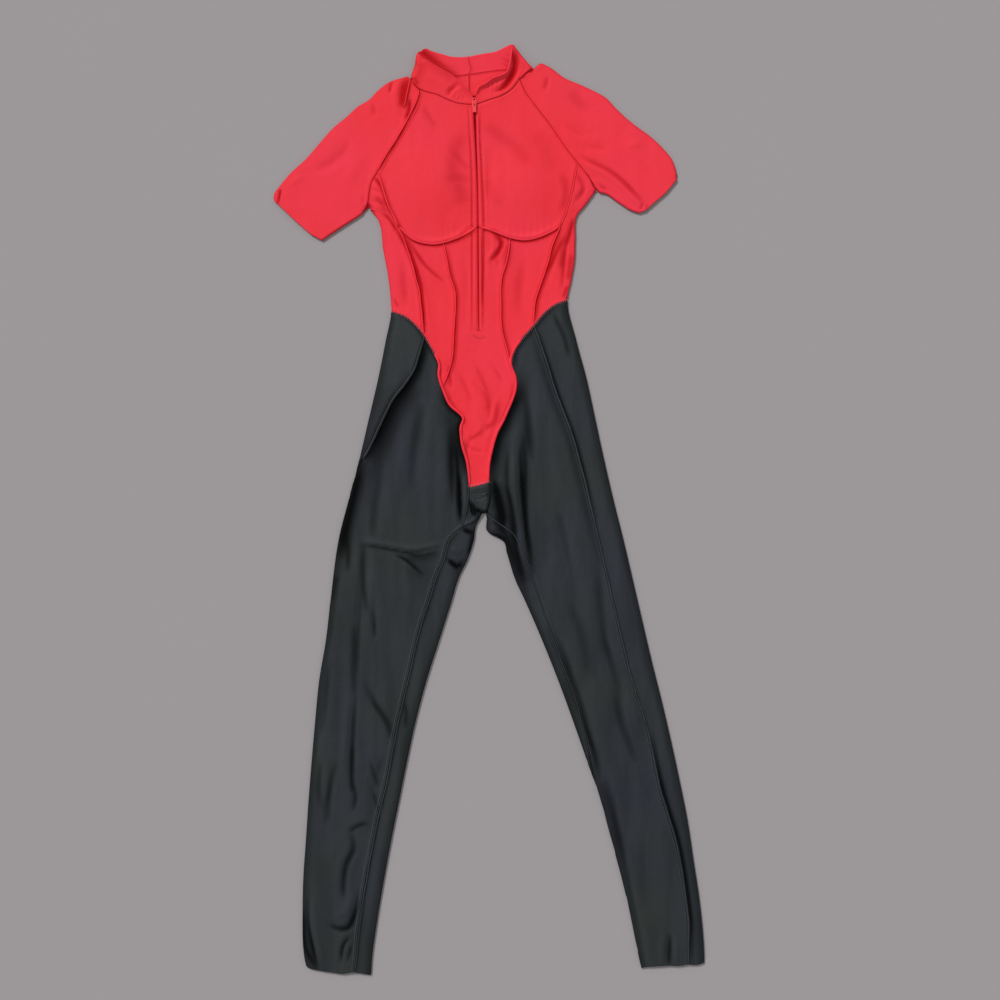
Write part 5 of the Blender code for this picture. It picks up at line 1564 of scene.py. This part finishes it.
@dataclass
class Bodice:
    """Bust, front, side and back panels."""

    palette: Palette
    slit_margin: float = 1

    def panel(self, name: str, outline: list[np.ndarray], rests_on: str) -> None:
        """Makes one panel of red knit on the body's tube."""
        Panel(name, TORSO, outline, self.palette.red, RED, rests_on).build()

    def zip_side(self, half: Half, top: float, foot: float) -> np.ndarray:
        """Points down one side of the zip slit, from top to foot, as (turn, along)."""
        line = resampled(ZIP_LINE)
        line = line[(line[:, 1] <= top) & (line[:, 1] >= foot)]
        heights, halves = zip(*SLIT_HALF)
        aside = (1 if half is RIGHT else -1) * np.interp(line[:, 1], heights, halves)
        return TORSO.on(np.column_stack([line[:, 0] + aside, line[:, 1]]), Face.FRONT)

    def build(self) -> None:
        """Cuts and lays all panels of the body."""
        for parts in (self.bust, self.centre, self.mid, self.sides, self.back):
            parts()

    def bust(self) -> None:
        """The two bust panels."""
        for half in HALVES:
            neck_end, hem_end = half.neck[half.near], half.hem[half.near]
            top, foot = neck_end[1] - self.slit_margin, hem_end[1] + self.slit_margin
            outline = [
                TORSO.seam(half.neck, neck_end, half.raglan[0]),
                TORSO.seam(half.raglan, half.raglan[0], half.outer[0]),
                TORSO.seam(half.outer, half.outer[0], half.hem[half.far]),
                TORSO.seam(half.hem, half.hem[half.far], hem_end),
                self.zip_side(half, top, foot)[::-1],
            ]
            self.panel("bust_" + half.side, outline, "cloth_back_" + half.side)

    def centre(self) -> None:
        """The centre front with its point."""
        foot = ZIP_LINE[-1][1]
        tops = [half.hem[half.near][1] - self.slit_margin for half in HALVES]
        outline = [
            TORSO.seam(INNER_LEFT)[::-1],
            TORSO.seam(BUST_HEM_LEFT, INNER_LEFT[0], BUST_HEM_LEFT[-1]),
            self.zip_side(LEFT, tops[0], foot),
            self.zip_side(RIGHT, tops[1], foot)[::-1],
            TORSO.seam(BUST_HEM_RIGHT, BUST_HEM_RIGHT[0], INNER_RIGHT[0]),
            TORSO.seam(INNER_RIGHT),
            TORSO.seam(HIP_RIGHT, INNER_RIGHT[-1], HIP_RIGHT[-1]),
            TORSO.seam(POINT_FOOT)[::-1],
            TORSO.seam(HIP_LEFT, HIP_LEFT[-1], INNER_LEFT[-1]),
        ]
        self.panel("front_centre", outline, "cloth_back_left")

    def mid(self) -> None:
        """The two mid front panels."""
        for half in HALVES:
            outline = [
                TORSO.seam(half.outer, half.hem[half.far], half.outer[-1]),
                TORSO.seam(half.hip, half.outer[-1], half.inner[-1]),
                TORSO.seam(half.inner)[::-1],
                TORSO.seam(half.hem, half.inner[0], half.hem[half.far]),
            ]
            self.panel("front_mid_" + half.side, outline, "cloth_back_" + half.side)

    def sides(self) -> None:
        """The side panels, which wrap round to the back."""
        for half, lap in zip(HALVES, (1, 0)):
            outline = [
                TORSO.seam(half.outer, lap=lap),
                TORSO.seam(half.hip, half.outer[-1], half.hip[0], lap=lap),
                TORSO.behind(HIP_BACK, HIP_BACK[half.far], half.side_back[-1]),
                TORSO.behind(half.side_back)[::-1],
                TORSO.behind(half.raglan_back, half.side_back[0], half.raglan_back[-1]),
                TORSO.on([half.armpit_back], Face.BACK),
                TORSO.on([half.armpit], Face.FRONT, lap),
                TORSO.seam(half.raglan, half.raglan[-1], half.outer[0], lap=lap),
            ]
            self.panel("front_side_" + half.side, outline, FLOOR_NAME)

    def back(self) -> None:
        """The two halves of the upper back."""
        for half in HALVES:
            outline = [
                TORSO.behind(NECK_BACK, half.raglan_back[0], CENTRE_BACK[0]),
                TORSO.behind(CENTRE_BACK, CENTRE_BACK[0], WAIST_BACK),
                TORSO.behind(HIP_BACK, WAIST_BACK, half.side_back[-1]),
                TORSO.behind(half.side_back)[::-1],
                TORSO.behind(half.raglan_back, half.side_back[0], half.raglan_back[0]),
            ]
            self.panel("back_" + half.side, outline, FLOOR_NAME)


@dataclass
class Sleeve:
    """One raglan sleeve, folded at its top, with the underarm seam in its lower fold."""

    palette: Palette
    half: Half
    front_seam: float = 1.5
    back_seam: float = -2.5
    front_fold: float = 1.0
    back_fold: float = -2.0

    def build(self) -> None:
        """Cuts and lays the sleeve."""
        half, tube = self.half, self.half.sleeve
        hem = tube.world(*np.array(half.cuff, float).T)
        seam_top = float(tube.on([half.sleeve_pit], Face.FRONT)[0, 1]) + PIT_DROP
        down = np.linspace(seam_top, half.cuff[-1][1], UNDERARM_POINTS)
        outline = [
            tube.seam(half.neck, half.raglan[0], half.neck[half.far]),
            tube.behind(NECK_BACK, NECK_BACK[half.far], half.raglan_back[0], lap=-1),
            tube.behind(half.raglan_back, lap=-1),
            tube.on([half.sleeve_pit_back], Face.BACK, -1),
            np.array([(self.back_fold, seam_top)]),
            np.column_stack([np.full(len(down), self.back_seam), down]),
            tube.on(hem[::-1], Face.BACK, -1),
            tube.on(hem, Face.FRONT),
            np.column_stack([np.full(len(down), self.front_seam), down])[::-1],
            np.array([(self.front_fold, seam_top)]),
            tube.on([half.sleeve_pit], Face.FRONT),
            tube.seam(half.raglan)[::-1],
        ]
        name = "sleeve_" + half.side
        Panel(name, tube, outline, self.palette.red, RED, FLOOR_NAME, (hem,)).build()


@dataclass
class Legs:
    """The four leg panels and the crotch gusset."""

    palette: Palette

    def panel(self, name: str, tube: ClothTube, outline: list[np.ndarray], rests_on: str) -> None:
        """Makes one panel of black knit."""
        Panel(name, tube, outline, self.palette.black, BLACK, rests_on, HEMS).build()

    def build(self) -> None:
        """Cuts and lays both legs and the gusset."""
        self.left(LEFT_LEG)
        self.right(RIGHT_LEG)
        seams = (POINT_FOOT, GUSSET_RIGHT, GUSSET_FOOT)
        outline = [GUSSET.seam(rows) for rows in seams] + [GUSSET.seam(GUSSET_LEFT)[::-1]]
        self.panel("gusset", GUSSET, outline, "cloth_leg_back_left")

    def left(self, tube: ClothTube) -> None:
        """The left leg's front and back. The seam between them goes over the outer fold."""
        hem, behind = LEG_HEM_LEFT, SIDE_LEFT_BEHIND
        over = tube.crossing(tube.seam(SIDE_LEFT)[-1:], tube.behind(behind, lap=-1)[:1])
        front = [
            tube.seam(HIP_LEFT, SIDE_LEFT[0], HIP_LEFT[-1]),
            tube.seam(GUSSET_LEFT),
            tube.seam(INSEAM_LEFT),
            tube.seam(hem, INSEAM_LEFT[-1], hem[0]),
            tube.behind(hem, hem[0], behind[-1], lap=-1),
            tube.behind(behind, lap=-1)[::-1],
            over[::-1],
            tube.seam(SIDE_LEFT)[::-1],
        ]
        back = [
            tube.seam(HIP_LEFT, HIP_LEFT[0], SIDE_LEFT[0], lap=1),
            tube.seam(SIDE_LEFT, lap=1),
            over + (4, 0),
            tube.behind(behind),
            tube.behind(hem, behind[-1], hem[-1]),
            tube.seam(hem, hem[-1], INSEAM_LEFT[-1]),
            tube.seam(INSEAM_LEFT)[::-1],
            tube.behind(CENTRE_BACK, CENTRE_BACK[-1], WAIST_BACK),
            tube.behind(HIP_BACK, WAIST_BACK, HIP_BACK[0]),
        ]
        self.panel("leg_front_left", tube, front, "cloth_leg_back_left")
        self.panel("leg_back_left", tube, back, FLOOR_NAME)

    def right(self, tube: ClothTube) -> None:
        """The right leg's front and back. The seam between them goes over the inner fold."""
        hem, behind = LEG_HEM_RIGHT, INSEAM_RIGHT_BEHIND
        over = tube.crossing(tube.seam(INSEAM_RIGHT)[-1:], tube.behind(behind, lap=-1)[:1])
        front = [
            tube.seam(HIP_RIGHT, SIDE_RIGHT[0], HIP_RIGHT[-1]),
            tube.seam(GUSSET_RIGHT),
            tube.seam(INSEAM_RIGHT),
            over,
            tube.behind(behind, lap=-1),
            tube.behind(hem, behind[-1], hem[0], lap=-1),
            tube.seam(hem, hem[0], SIDE_RIGHT[-1]),
            tube.seam(SIDE_RIGHT)[::-1],
        ]
        back = [
            tube.seam(HIP_RIGHT, SIDE_RIGHT[0], HIP_RIGHT[0]),
            tube.behind(HIP_BACK, HIP_BACK[-1], WAIST_BACK),
            tube.behind(CENTRE_BACK, WAIST_BACK, CENTRE_BACK[-1]),
            tube.seam(INSEAM_RIGHT, lap=1),
            over + (4, 0),
            tube.behind(behind),
            tube.behind(hem, behind[-1], hem[-1]),
            tube.seam(hem, hem[-1], SIDE_RIGHT[-1]),
            tube.seam(SIDE_RIGHT)[::-1],
        ]
        self.panel("leg_front_right", tube, front, "cloth_leg_back_right")
        self.panel("leg_back_right", tube, back, FLOOR_NAME)


@dataclass(frozen=True)
class Lip:
    """A seam edge that stands proud and rolls over: its line, the tube under it, half width and height."""

    name: str
    line: Rows
    tube: ClothTube
    wide: float
    tall: float
    lean: int = 1
    aside: float = 0.0
    start: Row | None = None
    stop: Row | None = None


LIP_SECTION = (
    (-0.35, -0.7), (-0.95, 0.0), (-1.0, 0.5), (-0.65, 0.9), (0.0, 1.0), (0.6, 0.9), (1.0, 0.6),
    (0.95, 0.3), (0.45, 0.05), (0.3, -0.7),
)
LIP_STEP = 2.0
LIP_TAPER = 7.0
LIP_LEAST = 0.04
SWAY_WAVE = 21.0
SWELL_WAVE = 13.0
SWELL_PLACE = 7.0
SWELL_DEPTH = 0.5
SWELL_SHARE = 0.2
LIP_GRAIN = 0.8
SMOOTHED = 5
RED_LIPS = tuple(Lip(*row) for row in (
    ("bust_left", OUTER_LEFT, TORSO, 1.3, 1.6, 1, 0.6, OUTER_LEFT[0], BUST_HEM_LEFT[0]),
    ("bust_hem_left", BUST_HEM_LEFT, TORSO, 1.7, 1.7, -1, 0.9),
    ("bust_hem_right", BUST_HEM_RIGHT, TORSO, 1.7, 1.7, -1, 0.9),
    ("bust_right", OUTER_RIGHT, TORSO, 1, 1.2, -1, 0, OUTER_RIGHT[0], BUST_HEM_RIGHT[-1]),
    ("outer_left", OUTER_LEFT, TORSO, 1.2, 2.3, 1, -0.3, BUST_HEM_LEFT[0], OUTER_LEFT[-1]),
    ("outer_right", OUTER_RIGHT, TORSO, 1.1, 2.1, 1, -0.3, BUST_HEM_RIGHT[-1], OUTER_RIGHT[-1]),
    ("inner_left", INNER_LEFT, TORSO, 1.1, 2, 1, -0.2),
    ("inner_right", INNER_RIGHT, TORSO, 1.1, 2, 1, -0.2),
    ("neck_left_end", ((-107, 1329), (-112, 1336), (-117, 1342)), LEFT_SLEEVE, 1.2, 2.8),
    ("neck_right_end", ((46, 1342), (53, 1350), (60, 1355), (67, 1357)), RIGHT_SLEEVE, 1.3, 3.2),
    ("shoulder_fold", ((-117, 1342), (-120, 1331), (-125, 1306), (-127, 1297)), LEFT_SLEEVE, 0.9, 1.7),
    ("raglan_left_upper", RAGLAN_LEFT, TORSO, 1.1, 2, 1, -0.6, RAGLAN_LEFT[0], OUTER_LEFT[0]),
    ("raglan_left_lower", RAGLAN_LEFT, TORSO, 0.7, 0.8, -1, 5.4, RAGLAN_LEFT[1], OUTER_LEFT[0]),
    ("raglan_right_upper", RAGLAN_RIGHT, TORSO, 0.9, 1.1, 1, 1.2),
    ("raglan_right_lower", RAGLAN_RIGHT, TORSO, 1, 1.3, -1, -1.5),
    ("point_left", HIP_LEFT, TORSO, 2, 3.2, 1, 0.8, (-82, 930), HIP_LEFT[-1]),
    ("point_right", HIP_RIGHT, TORSO, 2, 3.2, -1, -1.6, (50, 952), HIP_RIGHT[-1]),
    ("hip_left", HIP_LEFT, TORSO, 0.9, 0.8, 1, 2.6, HIP_LEFT[0], (-82, 930)),
    ("hip_right", HIP_RIGHT, TORSO, 0.9, 0.8, -1, -2.6, HIP_RIGHT[0], (50, 952)),
    ("point_foot", POINT_FOOT, TORSO, 1, 1.2, 1, 0.8),
    ("collar_top_right", COLLAR_TOP_RIGHT, COLLAR, 1.2, 1.4, -1, -0.8),
    ("collar_top_left", COLLAR_TOP_LEFT, COLLAR, 0.8, 0.9, 1, -0.6),
))
BLACK_LIPS = tuple(Lip(*row) for row in (
    ("side_left", SIDE_LEFT, LEFT_LEG, 2, 3.4, 1, 0),
    ("side_right", SIDE_RIGHT, RIGHT_LEG, 1.6, 2.8, 1, 0),
    ("inseam_left", INSEAM_LEFT, LEFT_LEG, 1.3, 1.5, 1, 1.6),
    ("inseam_right", INSEAM_RIGHT, RIGHT_LEG, 1.2, 1.4, 1, 0),
    ("gusset_left", GUSSET_LEFT, GUSSET, 1.1, 1.6, 1, 0),
))


def on_top(tube: ClothTube, place: np.ndarray) -> np.ndarray:
    """Smoothed height of the cloth's upper face under the points of a line."""
    height = tube.top(place)
    if len(height) < SMOOTHED:
        return height
    padded = np.pad(height, SMOOTHED // 2, mode="edge")
    return np.convolve(padded, np.ones(SMOOTHED) / SMOOTHED, mode="valid")


def along_line(rows: np.ndarray, step: float) -> np.ndarray:
    """Points at even steps along a curve."""
    far = np.concatenate([[0.0], np.cumsum(np.linalg.norm(np.diff(rows, axis=0), axis=1))])
    places = np.arange(0.0, far[-1], step)
    return np.column_stack([np.interp(places, far, rows[:, 0]), np.interp(places, far, rows[:, 1])])


@dataclass
class SeamLips:
    """The proud, rolled seam edges of one colour."""

    name: str
    lips: tuple[Lip, ...]
    material: bpy.types.Material
    slot: str
    waver: float = 0.55

    def build(self) -> None:
        """Sweeps every lip and joins them into one piece."""
        points, faces, coordinates = [], [], []
        around = len(LIP_SECTION)
        first = 0
        for lip in self.lips:
            made, uv = self.sweep(lip)
            points.append(made)
            coordinates.append(uv)
            last = first + len(made) - around
            for a in range(first, last, around):
                b = a + around
                faces += [[a + j, a + (j + 1) % around, b + (j + 1) % around, b + j] for j in range(around)]
            faces.append(list(range(first, first + around))[::-1])
            faces.append(list(range(last, last + around)))
            first += len(made)
        piece = mesh_piece(self.name, np.vstack(points), faces, self.material)
        write_grain(piece.data, np.vstack(coordinates))
        outwards(piece)
        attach(piece, "garment")
        LOG.info("%s: %s", self.name, ", ".join(lip.name for lip in self.lips))

    def sweep(self, lip: Lip) -> tuple[np.ndarray, np.ndarray]:
        """Points of one lip, ring by ring.

        Args:
            lip: Its sizes.

        Returns:
            Rows of (x, up, z), and the knit's coordinates.
        """
        curve = resampled(lip.line)
        if lip.start is not None:
            curve = part_of(curve, lip.start, lip.stop)
        line = along_line(curve, LIP_STEP)
        side = lefts(np.gradient(line, axis=0))
        base = on_top(lip.tube, line)
        far = np.arange(len(line)) * LIP_STEP
        taper = np.sqrt(np.clip(np.minimum(far, far[-1] - far) / LIP_TAPER, LIP_LEAST, 1.0))
        sway = self.drift(line, SWAY_WAVE, lip.wide) * self.waver
        swell = 1.0 + SWELL_DEPTH * self.drift(line, SWELL_WAVE, SWELL_PLACE + lip.wide)
        reach = lip.wide * taper * (1.0 - SWELL_SHARE + SWELL_SHARE * swell)
        rings, uv = [], []
        for j, (across, rise) in enumerate(LIP_SECTION):
            place = line + side * (lip.aside + sway + lip.lean * across * reach)[:, None]
            tall = rise * lip.tall * swell if rise > 0 else rise
            rings.append(np.column_stack([place, base + tall * taper]))
            uv.append(np.column_stack([np.full(len(far), j * LIP_GRAIN), far]))
        return np.stack(rings, axis=1).reshape(-1, 3), np.stack(uv, axis=1).reshape(-1, 2)

    @staticmethod
    def drift(line: np.ndarray, wave: float, level: float) -> np.ndarray:
        """Smooth noise of that wavelength along a line."""
        return np.array([noise.noise((x / wave, up / wave, level)) for x, up in line])


@dataclass(frozen=True)
class Stitches:
    """A row of stitches: its line, tube, offset aside, pitch and slant in degrees."""

    line: Rows
    tube: ClothTube
    aside: float
    pitch: float = 2.9
    long: float = 2.1
    thick: float = 0.26
    slant: float = 0.0
    rise: float = 0.1
    start: Row | None = None
    stop: Row | None = None


@dataclass
class Thread:
    """All stitches of one colour, each a copy of one thread bead."""

    name: str
    rows: tuple[Stitches, ...]
    material: bpy.types.Material
    slot: str
    bead_segments: int = 6
    bead_rings: int = 4

    def bead(self) -> tuple[np.ndarray, list]:
        """Points and faces of one stitch of length 1 along X and thickness 1, modelled once."""
        deselect()
        bpy.ops.mesh.primitive_uv_sphere_add(
            segments=self.bead_segments, ring_count=self.bead_rings, radius=0.5, location=(0, 0, 0),
            rotation=(0, math.pi / 2, 0),
        )
        bpy.ops.object.transform_apply(location=True, rotation=True, scale=True)
        return taken_shape()

    def build(self) -> None:
        """Copies the bead along every row and joins the copies."""
        bead, bead_faces = self.bead()
        copies = []
        for row in self.rows:
            curve = resampled(row.line)
            if row.start is not None:
                curve = part_of(curve, row.start, row.stop)
            line = along_line(curve, row.pitch)
            side = lefts(np.gradient(line, axis=0))
            line = line + side * row.aside
            height = row.tube.top(line) + row.rise
            for i, (spot, left) in enumerate(zip(line, side)):
                turn = math.radians(row.slant) * (1 if i % 2 else -1)
                ahead = np.array([left[1], -left[0]]) * math.cos(turn) + left * math.sin(turn)
                beside = np.array([-ahead[1], ahead[0]])
                flat = np.outer(bead[:, 0] * row.long, ahead) + np.outer(bead[:, 1] * row.thick * 2, beside)
                copies.append(np.column_stack([spot + flat, height[i] + bead[:, 2] * row.thick * 2]))
        piece = mesh_piece(self.name, *joined(copies, bead_faces), self.material)
        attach(piece, "garment")
        LOG.info("%s: %d stitches", self.name, len(copies))


RED_ROWS = tuple(Stitches(*row) for row in (
    (NECK_LEFT, TORSO, 2.6),
    (NECK_LEFT, COLLAR, -2.6),
    (NECK_RIGHT, TORSO, -2.6),
    (NECK_RIGHT, COLLAR, 2.6),
    (STITCH_LEFT, TORSO, 0),
    (STITCH_RIGHT, TORSO, 0),
    (COLLAR_TOP_LEFT, COLLAR, 3),
    (ZIP_BAR, TORSO, 0, 0.9, 2.6, 0.3, 90, 0.25),
    (ZIP_BAR, TORSO, 1.8, 2.2, 1.9, 0.26, 0, 0.2),
))
HIP_ROWS = tuple(Stitches(*row) for row in (
    (HIP_LEFT, TORSO, 1.1, 2.6, 2, 0.36, 14, 0.7, HIP_LEFT[0], (-75, 914)),
    (HIP_LEFT, TORSO, -0.9, 3, 1.8, 0.30, 24, 0.9, HIP_LEFT[0], (-75, 914)),
    (HIP_RIGHT, TORSO, -1.1, 2.6, 2, 0.36, 14, 0.7, HIP_RIGHT[0], (34, 916)),
    (HIP_RIGHT, TORSO, 0.9, 3, 1.8, 0.30, 24, 0.9, HIP_RIGHT[0], (34, 916)),
    (POINT_FOOT, TORSO, 2.4, 2.6, 1.9, 0.42, 24, 1),
    (POINT_FOOT, TORSO, -0.6, 2.4, 2.2, 0.42, 50, 0.9),
    (HIP_LEFT, TORSO, 3.6, 3.4, 1.5, 0.26, 0, 0.4, (-43, 819), HIP_LEFT[-1]),
    (HIP_RIGHT, TORSO, -3.8, 3.4, 1.5, 0.26, 0, 0.4, (35, 858), HIP_RIGHT[-1]),
))
GREY_ROWS = tuple(Stitches(*row) for row in (
    (INSEAM_LEFT, LEFT_LEG, -1.2, 2.9, 1.8, 0.36, 10, 0.3),
    (INSEAM_LEFT, LEFT_LEG, -4.4, 2.9, 1.8, 0.36, 10, 0.3),
    (SIDE_LEFT, LEFT_LEG, -4.2, 3, 1.6, 0.26, 0, 0.2),
    (SIDE_RIGHT, RIGHT_LEG, -3.4, 3, 1.7, 0.3, 0, 0.2),
    (SIDE_RIGHT, RIGHT_LEG, 0, 3.1, 1.5, 0.26, 0, 2.9),
    (INSEAM_RIGHT, RIGHT_LEG, 2.8, 2.9, 1.5, 0.26, 0, 0.2, (60, 612), INSEAM_RIGHT[-1]),
    (INSEAM_RIGHT, RIGHT_LEG, -2.8, 2.9, 1.5, 0.26, 0, 0.2, (60, 612), INSEAM_RIGHT[-1]),
))


@dataclass
class Zip:
    """The zip: dresses the tapes, coil, slider and tab, and adds teeth and the slider's ring."""

    palette: Palette
    slider_up: float = 1304.0
    ring_up: float = 1309.6
    ring_radius: float = 2.3
    ring_wire: float = 0.75
    ring_height: float = 7.0
    ring_segments: int = 28
    wire_segments: int = 10
    tooth_pitch: float = 1.6
    tooth_long: float = 3.0
    tooth_wide: float = 0.9
    tooth_tall: float = 0.9
    tooth_height: float = 3.4
    tooth_bevel: float = 0.2
    tooth_aside: float = 0.9
    slider_clear: float = 6
    foot_clear: float = 2

    def build(self) -> None:
        """Dresses and adds the parts."""
        tape, plastic = self.palette.tape, self.palette.plastic
        for node, material in (
            ("zip_tape_left", tape), ("zip_tape_right", tape), ("zip_coil", tape),
            ("zip_slider", plastic), ("pull_tab", plastic),
        ):
            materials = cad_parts[node].data.materials
            materials.clear()
            materials.append(material)
            LOG.info("%s: dressed", node)
        self.teeth()
        self.ring()

    def teeth(self) -> None:
        """The coil's teeth, each a copy of one rounded block."""
        deselect()
        bpy.ops.mesh.primitive_cube_add(size=1.0)
        bpy.ops.object.mode_set(mode="EDIT")
        bpy.ops.mesh.bevel(offset=self.tooth_bevel, segments=1)
        bpy.ops.object.mode_set(mode="OBJECT")
        points, faces = taken_shape()
        points = points * np.array([self.tooth_long, self.tooth_wide, self.tooth_tall])
        line = along_line(resampled(ZIP_LINE), self.tooth_pitch / 2)
        top, foot = self.slider_up - self.slider_clear, ZIP_LINE[-1][1] + self.foot_clear
        line = line[(line[:, 1] < top) & (line[:, 1] > foot)]
        copies = [
            points + np.array([x + self.tooth_aside * (1 if i % 2 else -1), up, self.tooth_height])
            for i, (x, up) in enumerate(line)
        ]
        piece = mesh_piece("zip_teeth", *joined(copies, faces), self.palette.tape)
        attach(piece, "garment")
        LOG.info("zip_teeth: %d teeth", len(copies))

    def ring(self) -> None:
        """The loop at the slider's nose."""
        line = resampled(ZIP_LINE)
        x = float(line[np.argmin(np.abs(line[:, 1] - self.ring_up)), 0])
        place = in_metres(np.array([[x, self.ring_up, self.ring_height]]))[0]
        deselect()
        bpy.ops.mesh.primitive_torus_add(
            location=tuple(place), major_radius=self.ring_radius * MM, minor_radius=self.ring_wire * MM,
            major_segments=self.ring_segments, minor_segments=self.wire_segments,
        )
        ring = bpy.context.object
        ring.name = "slider_ring"
        bpy.ops.object.transform_apply(location=True, rotation=True, scale=True)
        bpy.ops.object.shade_smooth()
        ring.data.materials.append(self.palette.plastic)
        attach(ring, "garment")
        LOG.info("slider_ring: added")


@dataclass
class Stage:
    """The floor, the light and the camera straight above."""

    palette: Palette
    middle: tuple[float, float] = (0.0165, 0.014)
    view_width: float = 1.5
    lens: float = 50.0
    sensor: float = 36.0
    floor_side: float = 12.0
    key_from: tuple[float, float, float] = (-1.3, 1.6, 1.95)
    key_power: float = 2.12
    key_softness: float = 14.0
    sky: float = 0.47

    floor_drop: float = 0.0004

    def build(self) -> None:
        """Makes the floor, the lights and the camera."""
        deselect()
        bpy.ops.mesh.primitive_plane_add(size=self.floor_side, location=(0.0, 0.0, -self.floor_drop))
        floor = bpy.context.object
        floor.name = FLOOR_NAME
        floor.data.materials.append(self.palette.floor)
        key = bpy.data.lights.new("key", "SUN")
        key.energy = self.key_power
        key.angle = math.radians(self.key_softness)
        lamp = bpy.data.objects.new("key", key)
        bpy.context.scene.collection.objects.link(lamp)
        lamp.location = self.key_from
        lamp.rotation_euler = (-Vector(self.key_from)).to_track_quat("-Z", "Y").to_euler()
        world = bpy.data.worlds.new("studio")
        bpy.context.scene.world = world
        world.use_nodes = True
        background = world.node_tree.nodes["Background"]
        background.inputs["Color"].default_value = (1.0, 1.0, 1.0, 1.0)
        background.inputs["Strength"].default_value = self.sky
        camera = bpy.data.cameras.new("camera")
        camera.lens = self.lens
        camera.sensor_width = self.sensor
        seen = bpy.data.objects.new("camera", camera)
        bpy.context.scene.collection.objects.link(seen)
        seen.location = (*self.middle, self.view_width * self.lens / self.sensor)
        bpy.context.scene.camera = seen
        bpy.context.scene.view_settings.view_transform = "Standard"


def main() -> None:
    """Dresses the frame, piece by piece."""
    logging.basicConfig(level=logging.INFO, format="%(message)s")
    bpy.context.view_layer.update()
    palette = Palette()
    Collar(palette).build()
    Bodice(palette).build()
    for half in HALVES:
        Sleeve(palette, half).build()
    Legs(palette).build()
    SeamLips("seam_edges_red", RED_LIPS, palette.red, RED).build()
    SeamLips("seam_edges_black", BLACK_LIPS, palette.black, BLACK).build()
    Thread("thread_red", RED_ROWS, palette.red_thread, RED).build()
    Thread("thread_hip", HIP_ROWS, palette.hip_thread, RED).build()
    Thread("thread_grey", GREY_ROWS, palette.grey_thread, BLACK).build()
    Zip(palette).build()
    Stage(palette).build()


if __name__ == "__main__":
    main()
